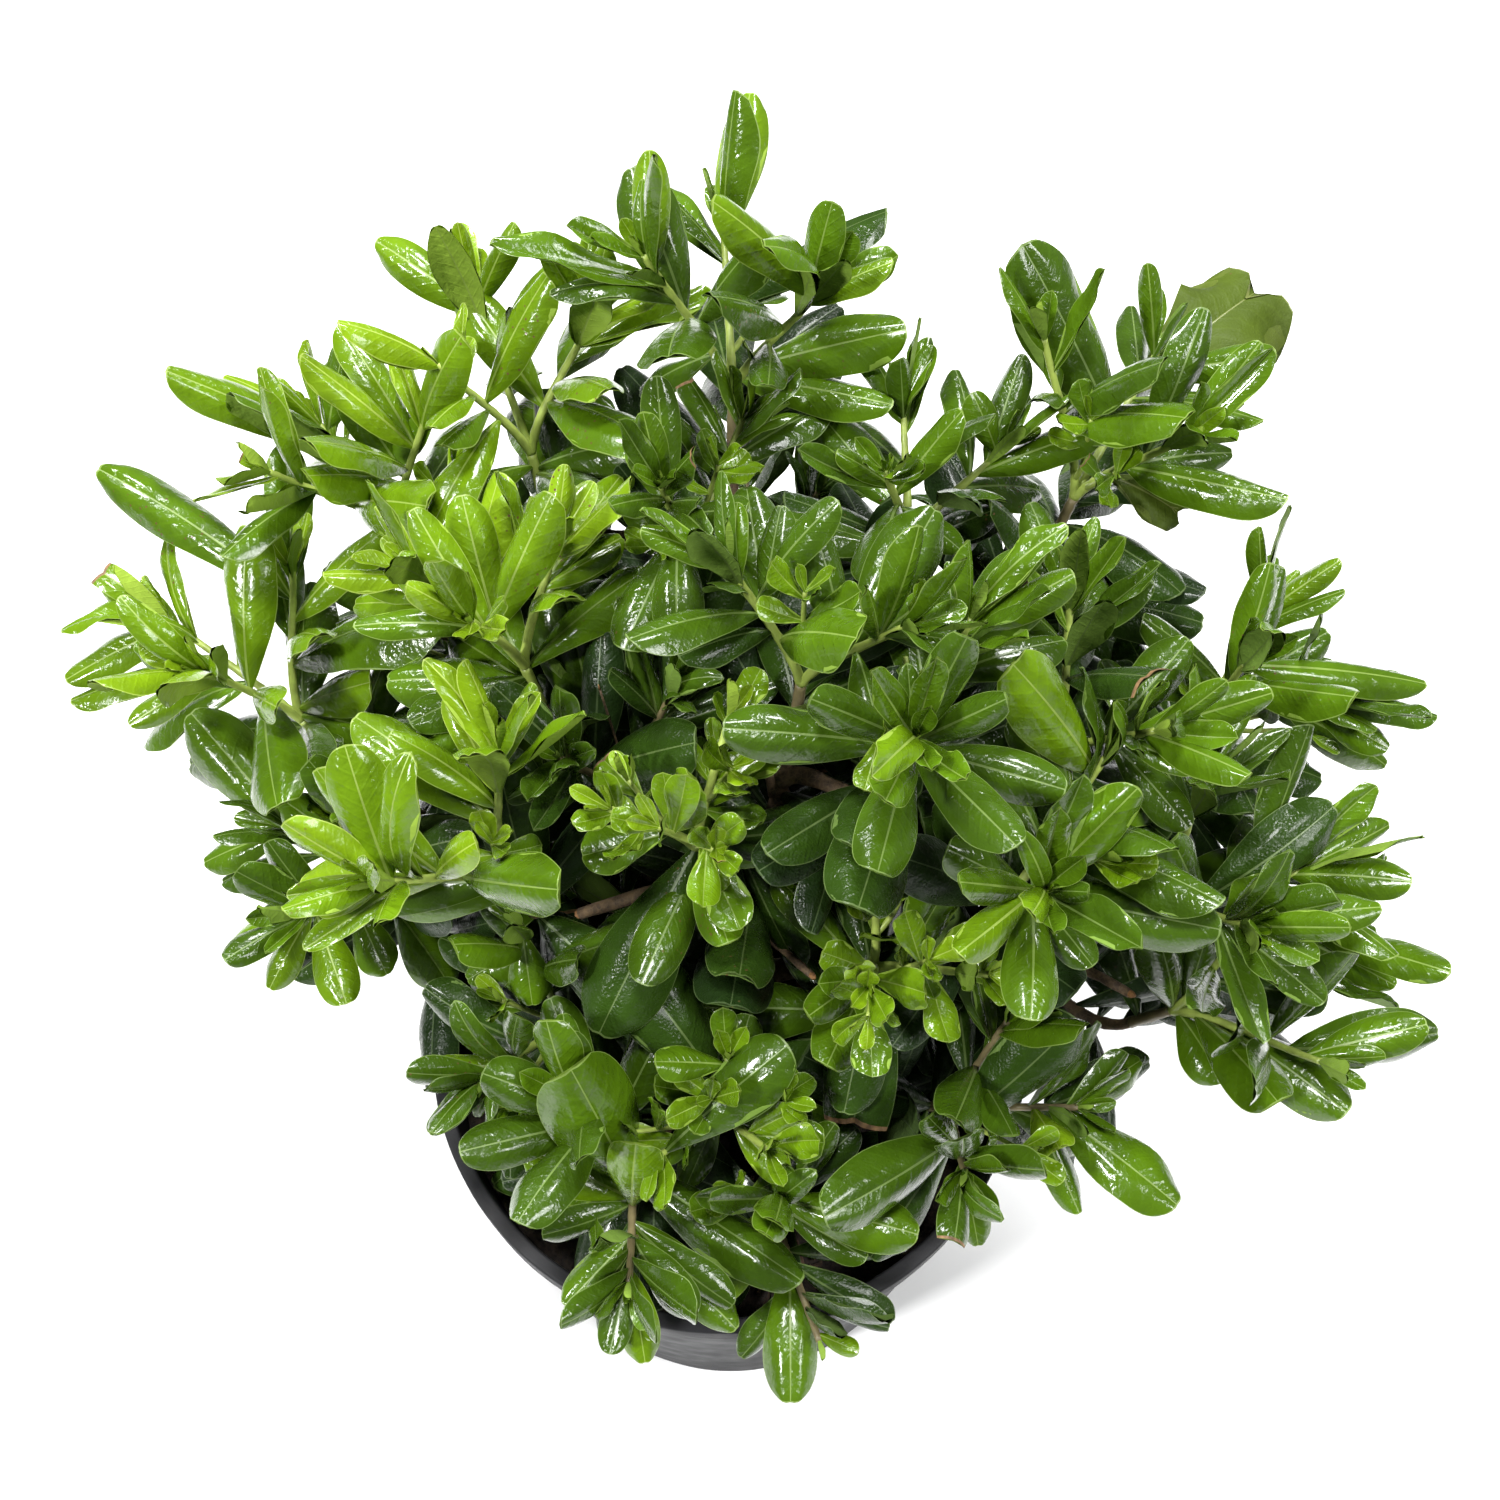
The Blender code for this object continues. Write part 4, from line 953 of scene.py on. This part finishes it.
def pot_profile():
    """Radii and heights from the middle of the pot's floor, over the rim, to the middle of its underside."""
    inner_top = RIM_RADIUS - RIM_LIP
    band_foot = POT_HEIGHT - RIM_BAND
    rounding = POT_HEIGHT - RIM_ROUND
    inner_foot = pot_outer_radius(POT_FLOOR) - POT_WALL
    profile = [(0.0, POT_FLOOR), (FLAT_RADIUS, POT_FLOOR), (inner_foot, POT_FLOOR)]
    for i in range(1, WALL_STEPS):
        t = i / WALL_STEPS
        profile.append((inner_foot + (inner_top - inner_foot) * t, POT_FLOOR + (rounding - POT_FLOOR) * t))
    for centre, first in ((inner_top + RIM_ROUND, 180), (RIM_RADIUS - RIM_ROUND, 90)):
        for i in range(RIM_STEPS + 1):
            angle = math.radians(first - 90 * i / RIM_STEPS)
            profile.append((centre + RIM_ROUND * math.cos(angle), rounding + RIM_ROUND * math.sin(angle)))
    profile += [(RIM_RADIUS, band_foot + BAND_EDGE), (RIM_RADIUS - 0.8 * BAND_EDGE, band_foot)]
    profile.append((pot_outer_radius(band_foot) + 0.4 * BAND_EDGE, band_foot - 0.2 * BAND_EDGE))
    profile += [(pot_outer_radius(RIDGE_Z + dz) + out, RIDGE_Z + dz) for dz, out in RIDGE]
    profile += [(pot_outer_radius(z), z) for z in (LOW_WALL_Z, BASE_CHAMFER)]
    return profile + [(POT_BASE_RADIUS - BASE_CHAMFER, 0), (FLAT_RADIUS, 0), (0.0, 0)]


def make_pot():
    """The turned pot: rolled rim, wall with one faint ridge, chamfered foot, all a little out of true."""
    profile = pot_profile()
    points = []
    for radius, z in profile:
        for k in range(POT_STEPS):
            angle = math.tau * k / POT_STEPS
            oval = 1 + OUT_OF_TRUE * math.cos(2 * angle + OVAL_TURN) * (z / POT_HEIGHT) ** 2
            scuff = SCUFF_DEPTH * noise.noise(Vector(polar(SCUFFS_ROUND, angle, z * SCUFFS_UP)))
            points.append(polar(radius * oval + (scuff if radius > FLAT_RADIUS else 0), angle, z))
    faces = grid_faces(closed_rings(len(profile), POT_STEPS)).tolist()
    mesh = add_piece("nursery_pot", points, faces, [pot_material()], "pot", ["pot"])
    mesh.set_sharp_from_angle(angle=SHARP_EDGE)


def soil_height(x, y):
    reach = math.hypot(x, y)
    outer = RIM_RADIUS - RIM_LIP - 2 * GAP
    fall = max(0, (reach - SOIL_LEVEL_RADIUS) / (outer - SOIL_LEVEL_RADIUS))
    lumps = 0
    for many, layer, height in SOIL_GRAINS:
        lumps += noise.noise(Vector((x * many, y * many, layer))) * height
    return SOIL_TOP + (SOIL_EDGE_TOP - SOIL_TOP) * fall + lumps


def make_soil():
    """Crumbly potting mix down to the pot's floor."""
    inner = pot_outer_radius(POT_FLOOR) - POT_WALL
    outer = RIM_RADIUS - RIM_LIP

    def wall(z):
        return inner + (outer - inner) * (z - POT_FLOOR) / (POT_HEIGHT - POT_FLOOR) - 2 * GAP

    angles = [math.tau * k / SOIL_STEPS for k in range(SOIL_STEPS)]
    points = [(0, 0, soil_height(0, 0))]
    for ring in range(1, SOIL_RINGS + 1):
        for angle in angles:
            x, y, _ = polar(wall(SOIL_EDGE_TOP) * ring / SOIL_RINGS, angle)
            points.append((x, y, soil_height(x, y)))
    floor = POT_FLOOR + GAP
    points += [polar(wall(floor), angle, floor) for angle in angles]
    corner = closed_rings(SOIL_RINGS + 1, SOIL_STEPS, first=1)
    innermost = corner[0].tolist()
    faces = [(0, here, after) for here, after in zip(innermost, innermost[1:])]
    faces += [*grid_faces(corner).tolist(), corner[-1, -2::-1].tolist()]
    # Dark potting mix, made darker still as painted shade for the shadow that falls inside the pot
    material = soil_material("potting_mix", (0.011, 0.007, 0.005), (0.034, 0.022, 0.014))
    add_piece("potting_mix", points, faces, [material], "potting_mix", ["soil"])


def make_chips():
    """Bark chips that lie on the potting mix."""
    draw = random.Random("chips")
    chips = []
    for _ in range(CHIPS):
        radius = CHIPS_TO * math.sqrt(draw.random())
        place = Vector(polar(radius, draw.uniform(0, math.tau)))
        if place.length < CHIPS_FROM:
            continue
        place.z = soil_height(place.x, place.y) + CHIP_HEIGHT
        turn = draw.uniform(0, math.tau)
        ahead = Vector(polar(1, turn, draw.uniform(-0.3, 0.3))).normalized()
        long_half = draw.uniform(*CHIP_LENGTHS)
        line = [place + ahead * long_half * t for t in (-1, -0.3, 0.4, 1)]
        width = draw.uniform(*CHIP_WIDTHS)
        chips.append(tube(line, [width * draw.uniform(0.4, 1) for _ in line], CHIP_SIDES))
    material = soil_material("bark_chip", (0.025, 0.014, 0.008), (0.10, 0.058, 0.032))
    add_piece("bark_chips", *joined(chips), [material], "potting_mix", smooth=False)


def make_trunk(material):
    """The short stem: taper, lean and root flare of the solids, with ridges in its bark."""
    relief = bark_relief(TRUNK_RELIEF)
    points = []
    for ring in range(TRUNK_RINGS):
        share = (ring / (TRUNK_RINGS - 1)) ** TRUNK_CROWDING
        for k in range(TRUNK_SIDES):
            angle = math.tau * k / TRUNK_SIDES
            out = Vector(polar(1, angle))
            surface = trunk_point(share) + out * trunk_radius(share, angle)
            points.append(surface + out * relief(surface))
    faces = tube_faces(TRUNK_RINGS, TRUNK_SIDES)
    add_piece("trunk_bark", points, faces, [material], "bark", ["trunk"])


def make_boughs(limbs, material):
    """Each bough on its curve, thicker at its collar, with the rings and lumps of old leaf scars."""
    relief = bark_relief(BOUGH_RELIEF)
    for name, limb in limbs.items():
        length = (limb.points[-1] - limb.points[0]).length
        count = max(LEAST_BOUGH_RINGS, int(length / BOUGH_STEP))
        line = [on_cubic(limb.handles, i / (count - 1)) for i in range(count)] + [limb.points[-1]]
        thick, thin = limb.radii
        draw = random.Random(name + " bark")
        scars = [draw.uniform(FIRST_SCAR, 1) for _ in range(int(length / SCAR_SPACING))]
        radii = []
        for i in range(len(line)):
            t = i / (len(line) - 1)
            rings = sum(math.exp(-(((t - scar) * length / SCAR_LENGTH) ** 2)) for scar in scars)
            collar = COLLAR_SWELL * math.exp(-t * length / COLLAR_LENGTH)
            radii.append((thick + (thin - thick) * t) * (1 + collar + SCAR_SWELL * rings))
        points, faces = tube(line, radii, BOUGH_SIDES, relief)
        add_piece(f"bough_{name}_bark", points, faces, [material], "bark", [f"bough_{name}"])


def make_snags(limbs, bark):
    """Short dead stubs with a raw broken end."""
    dead, raw = [], []
    steps = range(SNAG_STEPS + 1)
    for snag in SNAGS:
        foot = on_cubic(limbs[snag.mass].handles, snag.share)
        tip = seen_place(snag.across, snag.down, snag.height)
        line = [foot.lerp(tip, i / SNAG_STEPS) for i in steps]
        radii = [snag.radius * (1.15 - 0.3 * i / SNAG_STEPS) for i in steps]
        dead.append(tube(line, radii, SNAG_SIDES, bark_relief(BOUGH_RELIEF)))
        ahead = (tip - foot).normalized()
        ends = [tip + ahead * past for past, _ in BROKEN_END]
        radii = [snag.radius * share for _, share in BROKEN_END]
        raw.append(tube(ends, radii, BROKEN_SIDES, bark_relief(BROKEN_RELIEF)))
    add_piece("dead_stubs", *joined(dead), [bark], "bark")
    wood = bark_material("broken_wood", (0.42, 0.22, 0.08), (0.30, 0.14, 0.045))
    add_piece("broken_ends", *joined(raw), [wood], "bark")


class Crowd:
    """Blades and stems that are in place, so that a new blade can be tested against them."""

    def __init__(self):
        self.trees = []
        self.low = np.zeros((0, 3))
        self.high = np.zeros((0, 3))
        self.waiting = []

    def add(self, points, faces):
        points = np.asarray(points, float).reshape(-1, 3)
        self.trees.append(BVHTree.FromPolygons(points.tolist(), faces))
        self.waiting.append((points.min(0), points.max(0)))
        if len(self.waiting) > MOST_WAITING:
            self.low = np.concatenate([self.low, [low for low, _ in self.waiting]])
            self.high = np.concatenate([self.high, [high for _, high in self.waiting]])
            self.waiting = []

    def meets(self, points, faces):
        low, high = points.min(0), points.max(0)
        near = np.flatnonzero((self.low <= high).all(1) & (self.high >= low).all(1)).tolist()
        for i, (other_low, other_high) in enumerate(self.waiting, len(self.low)):
            if (other_low <= high).all() and (other_high >= low).all():
                near.append(i)
        if not near:
            return False
        tree = BVHTree.FromPolygons(points.tolist(), faces)
        return any(tree.overlap(self.trees[i]) for i in near)


TEST_FACES = grid_faces(numbered(TEST_ROWS - 1, 2 * (TEST_STRIPS + 2))).tolist()


def dressed(leaf, form, age, draw, width=None):
    """A blade on a leaf's place, with its own small differences from the form."""
    shape = FORMS[form]
    along = tilted(leaf.along, draw, 0.0 if width else 0.05)
    facing = leaf.normal if width else leaf.normal + LIGHT * TURNED
    damaged = draw.random() < DAMAGED
    return Blade(
        leaf.root,
        along,
        across(along, tilted(facing, draw, 0.08)),
        leaf.length,
        age if width else min(age, OLDEST),
        draw.uniform(0, math.tau),
        width or shape.width * draw.uniform(0.86, 1.16),
        shape.belly * draw.uniform(0.82, 1.22),
        shape.fold * draw.uniform(0.7, 1.3),
        shape.roll * draw.uniform(0.7, 1.3),
        shape.bend * draw.uniform(0.5, 1.5) + draw.gauss(0, 0.12),
        shape.twist * draw.uniform(-1, 1),
        shape.wave * draw.uniform(0.5, 1.6),
        shape.notch * draw.uniform(0.6, 1.6),
        shape.cut * (draw.uniform(0.80, 0.94) if damaged else 1),
    )


class Crown:
    """All of the foliage: blades and green shoots, gathered as they find room."""

    def __init__(self, limbs):
        self.blades = []
        self.shoots = []
        self.crowd = Crowd()
        self.growth = {mass.name: twigs_and_leaves(mass) for mass in MASSES}
        self.owners = []
        places = []
        for name, groups in self.growth.items():
            for twig, _ in groups:
                places += [twig.foot.lerp(twig.tip, share) for share in (0.25, 0.5, 0.75, 1.0)]
                self.owners += [name] * 4
        self.spaces = KDTree(len(places))
        for index, place in enumerate(places):
            self.spaces.insert(place, index)
        self.spaces.balance()
        for limb in limbs.values():
            line = [on_cubic(limb.handles, i / (TEST_RINGS - 1)) for i in range(TEST_RINGS)]
            self.crowd.add(*tube(line, np.linspace(*limb.radii, TEST_RINGS), TEST_SIDES))

    def in_space(self, blade, name):
        """True where the blade's heart lies nearer to the twigs of a mass than to those of any other."""
        heart = blade.root + blade.along * blade.length * LEAF_HEART
        return self.owners[self.spaces.find(heart)[1]] == name

    def keep(self, blade, owner=None):
        """Keeps a blade that lies in its owner's space, clear of the pot and of all that is in place."""
        if owner and not self.in_space(blade, owner):
            return False
        points = blade_points([blade], TEST_ROWS, TEST_STRIPS)[0][0]
        if not all(clear_of_pot(point) for point in points.reshape(-1, 3)):
            return False
        free = points[1:].reshape(-1, 3)
        if self.crowd.meets(free, TEST_FACES):
            return False
        self.crowd.add(free, TEST_FACES)
        self.blades.append(blade)
        return True

    def keep_shoot(self, line, foot_radius, tip_radius, age):
        self.shoots.append(Shoot(line, foot_radius, tip_radius, age))
        some = line[:: max(1, (len(line) - 1) // 4)]
        self.crowd.add(*tube(some, np.linspace(foot_radius, tip_radius, len(some)), THIN_SIDES))

    def open_sights(self):
        """Posts along lines of sight, which leaves stay clear of."""
        sights = [(*sight, SIGHT_FOOT) for sight in GROUND_SIGHTS]
        for across_frame, down_frame, lowest in (*sights, *WOOD_SIGHTS):
            ends = [seen_place(across_frame, down_frame, height) for height in (lowest, SIGHT_TOP)]
            self.crowd.add(*tube(ends, [SIGHT_RADIUS] * 2, TEST_SIDES))

    def drop_leaves(self):
        """Dry curled leaves on the potting mix, most of them near the pot's wall."""
        draw = random.Random("fallen")
        for _ in range(FALLEN):
            angle = draw.uniform(0, math.tau)
            reach = FALLEN_FROM + FALLEN_SPREAD * math.sqrt(draw.random())
            root = Vector(polar(reach, angle, SOIL_TOP + draw.uniform(*FALLEN_HEIGHTS)))
            turn = draw.uniform(0, math.tau)
            along = Vector(polar(1, turn, draw.uniform(-0.05, 0.25))).normalized()
            leaf = Leaf(root, along, across(along, tilted(UP, draw, 0.3)), draw.uniform(*FALLEN_LENGTHS))
            form = draw.choice(("curled", "hooked", "broad"))
            self.keep(dressed(leaf, form, DRY, draw, draw.uniform(*FALLEN_WIDTHS)))


class Spray:
    """The finer growth of one mass: its stem, shoots and side shoots, and their leaves."""

    def __init__(self, crown, mass, limb):
        self.crown, self.mass, self.limb = crown, mass, limb
        self.age = AGE_OF_TINT[mass.tint] + AGE_BY_DEPTH * max(0, YOUNG_ABOVE - mass.height)
        self.small = mass.leaf < SPRAY_BELOW
        self.grows = heading(mass)
        (self.stem, self.whorl), *self.rosettes = crown.growth[mass.name]
        foot = self.stem.foot - self.grows * STEM_IN_BOUGH
        crown.keep_shoot([foot, self.stem.tip], BOUGH_TIP_RADIUS, STEM_TIP_RADIUS, self.age + 2)
        self.lines = []
        for twig, _ in self.rosettes:
            leaves = (self.grows + (twig.tip - twig.foot).normalized()).normalized()
            line = bent_line(twig.foot, twig.tip, leaves, SHOOT_POINTS)
            crown.keep_shoot(line, SHOOT_FOOT_RADIUS, SHOOT_TIP_RADIUS, self.age)
            self.lines.append(line)

    def start(self, step):
        """The random draws of one step of the growth."""
        self.draw = random.Random(f"{self.mass.name} {step}")
        return self.draw

    def keep(self, leaf, form, age, stays=True):
        return self.crown.keep(dressed(leaf, form, age, self.draw), self.mass.name if stays else None)

    def grow_leaf(self, root, axis, angle, spread, length, form, age, stays=True):
        """A finer leaf, turned about its shoot until it finds room."""
        sides = sides_of(axis)
        for attempt in range(TRIES):
            along = leaning(axis, sides, angle + attempt * math.tau / TRIES, spread)
            if self.keep(Leaf(root, along, across(along, axis), length), form, age, stays):
                return

    def form_at(self, t):
        """Form of a leaf at a share of its rosette: broad below, longer and curled towards the tip."""
        if t < ALL_BROAD:
            return "broad"
        chance = self.draw.random()
        if chance < NOT_CURLED:
            return "broad" if self.mass.height < BROAD_BELOW else "long"
        return "curled" if chance < NOT_HOOKED else "hooked"

    def grow_seen(self):
        """The leaves that stand out in the photo, each from its shoot to where its tip shows."""
        for seen in (Seen(*row) for row in SEEN.get(self.mass.name, ())):
            self.start(f"{seen.across} {seen.down}")
            root = on_line(self.lines[seen.shoot], seen.share)
            tip = seen_place(seen.across, seen.down, seen.height)
            along = (tip - root).normalized()
            facing = (Vector(CAMERA_PLACE) - root).normalized() * SEEN_FACING + UP
            leaf = Leaf(root, along, across(along, facing), (tip - root).length * SEEN_LENGTH)
            self.crown.keep(dressed(leaf, seen.form, seen.age, self.draw, seen.width))

    def grow_leaves(self):
        """The leaves that the solids have too."""
        draw = self.start("leaves")
        for leaf in self.whorl:
            shade = OLD_BELOW_SPRAY if self.small else self.age + WHORL_OLDER
            self.keep(leaf, "broad", shade + draw.gauss(0, 0.3))
        if self.small:
            return
        for line, (twig, leaves) in zip(self.lines, self.rosettes):
            for i, leaf in enumerate(leaves):
                t = i / (len(leaves) - 1)
                share = (leaf.root - twig.foot).length / (twig.tip - twig.foot).length
                length = leaf.length * draw.uniform(0.95, 1.25)
                form = self.form_at(t)
                shade = self.age + 0.5 - ROSETTE_AGES * t + draw.gauss(0, 0.35)
                self.keep(leaf._replace(root=on_line(line, share), length=length), form, shade)

    def grow_smalls(self, line, smalls, age):
        """Small round leaves in near pairs along a shoot, with a tuft at its tip."""
        draw = self.draw
        pairs = max(2, round((line[-1] - line[0]).length * (1 - smalls.first) / smalls.spacing))
        for i in range(pairs):
            t = (i + 0.7) / pairs
            share = smalls.first + (1 - smalls.first) * t
            ahead = (on_line(line, min(1, share + 0.1)) - on_line(line, share - 0.1)).normalized()
            for half in (0, math.pi):
                turn = i * 1.9 + half + draw.uniform(-0.4, 0.4)
                spread = math.radians(66 - 30 * t) + draw.uniform(-0.2, 0.2)
                size = smalls.foot_size + (smalls.tip_size - smalls.foot_size) * t
                size = size * draw.uniform(0.65, 1.3)
                shade = age + 0.5 - 0.9 * t + draw.gauss(0, 0.4)
                self.grow_leaf(on_line(line, share), ahead, turn, spread, size, "small", shade)
        ahead = (line[-1] - line[-2]).normalized()
        for i in range(smalls.tuft):
            spread = math.radians(34 - 9 * i)
            size = smalls.tip_size * (1 - 0.16 * i) * draw.uniform(0.8, 1.1)
            self.grow_leaf(line[-1], ahead, GOLDEN_ANGLE * i, spread, size, "tiny", age - 0.8)

    def grow_between(self):
        """Leaves between those of the solids, and the small folded ones at the heart of each rosette."""
        draw = self.start("between")
        if self.small:
            for line in self.lines:
                self.grow_smalls(line, SPRAY_SMALLS, self.age)
            return
        count = SHOOT_LEAVES[self.mass.shoots] - 2
        for line in self.lines:
            axis = (line[-1] - line[0]).normalized()
            turn = draw.uniform(0, math.tau)
            for i in range(count):
                t = (i + 0.5) / count
                spread = LOWEST_LEAF + (HIGHEST_LEAF - LOWEST_LEAF) * t + draw.uniform(-0.2, 0.2)
                root = on_line(line, BARE_SHARE + (HEART_PLACE - BARE_SHARE) * t**LEAF_CROWDING)
                length = self.mass.leaf * (1 + (TOP_LEAF_SHARE - 1) * t) * draw.uniform(0.60, 1.15)
                shade = self.age + 0.4 - ROSETTE_AGES * t + draw.gauss(0, 0.4)
                form = self.form_at(t)
                self.grow_leaf(root, axis, turn + GOLDEN_ANGLE * i, spread, length, form, shade)
            for i in range(HEART_LEAVES):
                t = i / (HEART_LEAVES - 1)
                spread = math.radians(36 - 28 * t) + draw.uniform(-0.1, 0.1)
                length = self.mass.leaf * (0.44 - 0.28 * t) * draw.uniform(0.8, 1.2)
                angle = turn + GOLDEN_ANGLE * (count + i)
                shade = self.age - HEART_YOUNGER - HEART_AGES * t
                self.grow_leaf(on_line(line, HEART_PLACE), axis, angle, spread, length, "tiny", shade)

    def grow_sprigs(self):
        """Side shoots with small leaves: one on each shoot of a small-leaved mass, and on some others."""
        draw = self.start("sprigs")
        chance = INNER_CHANCE if self.mass.reach < INNER_REACH else OUTER_CHANCE
        for line in self.lines:
            if self.small:
                self.grow_sprig(line, SPRAY_SPRIG_PLACE, draw.uniform(*SPRAY_SPRIG_LENGTHS), self.age)
            elif draw.random() < chance:
                share = draw.uniform(*SPRIG_PLACES)
                self.grow_sprig(line, share, draw.uniform(*SPRIG_LENGTHS), min(self.age, SPRIG_OLDEST))

    def grow_sprig(self, line, share, length, age):
        """A thin shoot with small leaves, from the side of another."""
        foot = on_line(line, share)
        axis = (line[-1] - line[0]).normalized()
        away = turned_to(sides_of(axis), self.draw.uniform(0, math.tau))
        along = (axis + away * self.draw.uniform(0.6, 0.95) + UP * 0.3).normalized()
        sprig = bent_line(foot, foot + along * length, (along + away * 0.6).normalized(), SPRIG_POINTS)
        self.crown.keep_shoot(sprig, SPRIG_FOOT_RADIUS, SPRIG_TIP_RADIUS, age)
        self.grow_smalls(sprig, SPRIG_SMALLS, age)

    def grow_old(self):
        """Old dark leaves below the fork and along the bough."""
        draw = self.start("old")
        turn = draw.uniform(0, math.tau)
        for i in range(STEM_OLD_LEAVES):
            t = i / (STEM_OLD_LEAVES - 1)
            root = self.stem.foot.lerp(self.stem.tip, 0.95 - 0.8 * t)
            spread = math.radians(70 + 22 * t) + draw.uniform(-0.1, 0.1)
            length = max(self.mass.leaf, LEAST_OLD_LENGTH) * draw.uniform(0.85, 1.12)
            shade = self.age + STEM_OLDER + draw.gauss(0, 0.4)
            self.grow_leaf(root, self.grows, turn + GOLDEN_ANGLE * i, spread, length, "broad", shade)
        count, lowest = MAIN_OLD_LEAVES if self.mass.carrier == "trunk" else SIDE_OLD_LEAVES
        handles = self.limb.handles
        for i in range(count):
            t = 1 - (1 - lowest) * (i + 0.5) / count
            axis = (on_cubic(handles, min(1, t + 0.05)) - on_cubic(handles, t - 0.05)).normalized()
            spread = math.radians(68) + draw.uniform(-0.3, 0.3)
            length = draw.uniform(*OLD_LENGTHS)
            shade = max(LEAST_BOUGH_AGE, self.age + BOUGH_OLDER) + draw.gauss(0, 0.45)
            angle = turn + 2 + GOLDEN_ANGLE * i
            self.grow_leaf(on_cubic(handles, t), axis, angle, spread, length, "broad", shade, stays=False)


def leaf_pieces(crown):
    """Pieces of the blades of one age each, with at most so many blades in one."""
    by_tint = [[] for _ in TINTS]
    for blade in crown.blades:
        by_tint[min(max(round(blade.age), 0), len(TINTS) - 1)].append(blade)
    brown = brown_material()
    nodes = [f"foliage_{mass.name}" for mass in MASSES]
    for tint, blades in zip(TINTS, by_tint):
        if not blades:
            continue
        wax = 0 if tint.roughness > DULL else YOUNG_WAX if tint.slot != "old_leaves" else OLD_WAX
        materials = [
            leaf_material(f"blade_{tint.name}", tint.blade, tint.roughness, tint.puckers, wax),
            rib_material(f"rib_{tint.name}", tint.rib),
            # Underside: the paler underside with painted light added, for light shining through the leaf
            leaf_material(f"underside_{tint.name}", tint.under, 0.5, tint.puckers, 0),
            brown,
        ]
        pieces = math.ceil(len(blades) / MOST_BLADES)
        for number in range(pieces):
            some = blades[number::pieces]
            large = [blade for blade in some if blade.length > SMALL_LEAF]
            small = [blade for blade in some if blade.length <= SMALL_LEAF]
            parts, start = [], 0
            for part, rows, strips in ((large, BLADE_ROWS, BLADE_STRIPS), (small, SMALL_ROWS, SMALL_STRIPS)):
                if part:
                    points, faces, kinds, own = blade_mesh(part, rows, strips)
                    parts.append((points, faces + start, kinds, own))
                    start += len(points)
            points, faces, kinds, own = (np.concatenate(arrays) for arrays in zip(*parts))
            name = f"leaves_{tint.name}_{number + 1}"
            add_piece(name, points, faces.tolist(), materials, tint.slot, nodes, kinds, own)


def stem_pieces(crown):
    """Green stems, joined by how old they are, each with a slightly uneven surface."""
    groups = {name: [] for _, name, _ in STEM_COLOURS}
    for number, shoot in enumerate(crown.shoots):
        name = next(name for limit, name, _ in STEM_COLOURS if shoot.age < limit)
        draw = random.Random(number)
        count = max(LEAST_SHOOT_RINGS, int((shoot.line[-1] - shoot.line[0]).length / SHOOT_STEP))
        taper = shoot.tip_radius - shoot.foot_radius
        line, radii = [], []
        for i in range(count):
            line.append(on_line(shoot.line, i / (count - 1)))
            radii.append((shoot.foot_radius + taper * i / (count - 1)) * draw.uniform(*SHOOT_UNEVEN))
        groups[name].append(tube(line, radii, SHOOT_SIDES))
    for _, name, colour in STEM_COLOURS:
        if groups[name]:
            material = stem_material(f"stem_{name}", colour)
            add_piece(f"shoots_{name}", *joined(groups[name]), [material], "young_leaves")


def make_stage():
    """A plain pale floor."""
    bpy.ops.mesh.primitive_plane_add(size=FLOOR_SIZE)
    floor = bpy.context.object
    floor.name = "floor"
    nodes = Nodes("floor", (0.93, 0.93, 0.93), 0.8)
    speckle = nodes.ranged(nodes.noise(12, 4), 0.3, 0.7)
    nodes.to("Base Color", nodes.mixed(speckle, (0.92, 0.92, 0.92), (0.94, 0.94, 0.94)))
    floor.data.materials.append(nodes.material)


def area_light(name, place, towards, size, watts):
    light = bpy.data.lights.new(name, "AREA")
    light.shape = "DISK"
    light.size = size
    light.energy = watts
    lamp = bpy.data.objects.new(name, light)
    lamp.location = place
    lamp.rotation_euler = (Vector(place) - Vector(towards)).to_track_quat("Z", "Y").to_euler()
    bpy.context.scene.collection.objects.link(lamp)


def make_lights():
    world = bpy.data.worlds.new("soft_room")
    world.use_nodes = True
    background = world.node_tree.nodes["Background"]
    background.inputs["Color"].default_value = (0.95, 0.98, 1.0, 1)
    background.inputs["Strength"].default_value = 0.16
    bpy.context.scene.world = world
    crown_middle = (0, 0.06, 0.38)
    area_light("key", (-1.1, -0.7, 1.7), crown_middle, 0.25, 37)
    area_light("right", (1.2, -0.5, 1.6), crown_middle, 0.60, 26)
    area_light("back", (0.5, 1.2, 1.8), crown_middle, 0.42, 34)
    area_light("left_back", (-1.0, 0.9, 1.7), crown_middle, 0.26, 23)
    area_light("top", (-0.1, 0.1, 2.3), crown_middle, 0.42, 40)


def make_camera():
    camera = bpy.data.cameras.new("camera")
    camera.lens = CAMERA_FOCAL
    camera.sensor_width = CAMERA_FOCAL
    camera.clip_start = 0.01
    holder = bpy.data.objects.new("camera", camera)
    holder.location = CAMERA_PLACE
    holder.rotation_euler = (math.pi / 2 - CAMERA_DOWN, 0, 0)
    bpy.context.scene.collection.objects.link(holder)
    bpy.context.scene.camera = holder


def main():
    make_camera()
    make_lights()
    make_stage()
    bpy.context.scene.view_settings.view_transform = "Standard"
    bark = bark_material("bark", (0.20, 0.135, 0.065), (0.105, 0.062, 0.034))
    make_pot()
    make_soil()
    make_chips()
    make_trunk(bark)
    limbs = {}
    for mass in MASSES:
        limbs[mass.name] = limb_of(mass, limbs)
    make_boughs(limbs, bark)
    make_snags(limbs, bark)

    crown = Crown(limbs)
    sprays = [Spray(crown, mass, limbs[mass.name]) for mass in MASSES]
    for spray in sprays:
        spray.grow_seen()
    crown.open_sights()
    for grow in (Spray.grow_leaves, Spray.grow_between, Spray.grow_sprigs, Spray.grow_old):
        for spray in sprays:
            grow(spray)
    crown.drop_leaves()
    leaf_pieces(crown)
    stem_pieces(crown)


main()
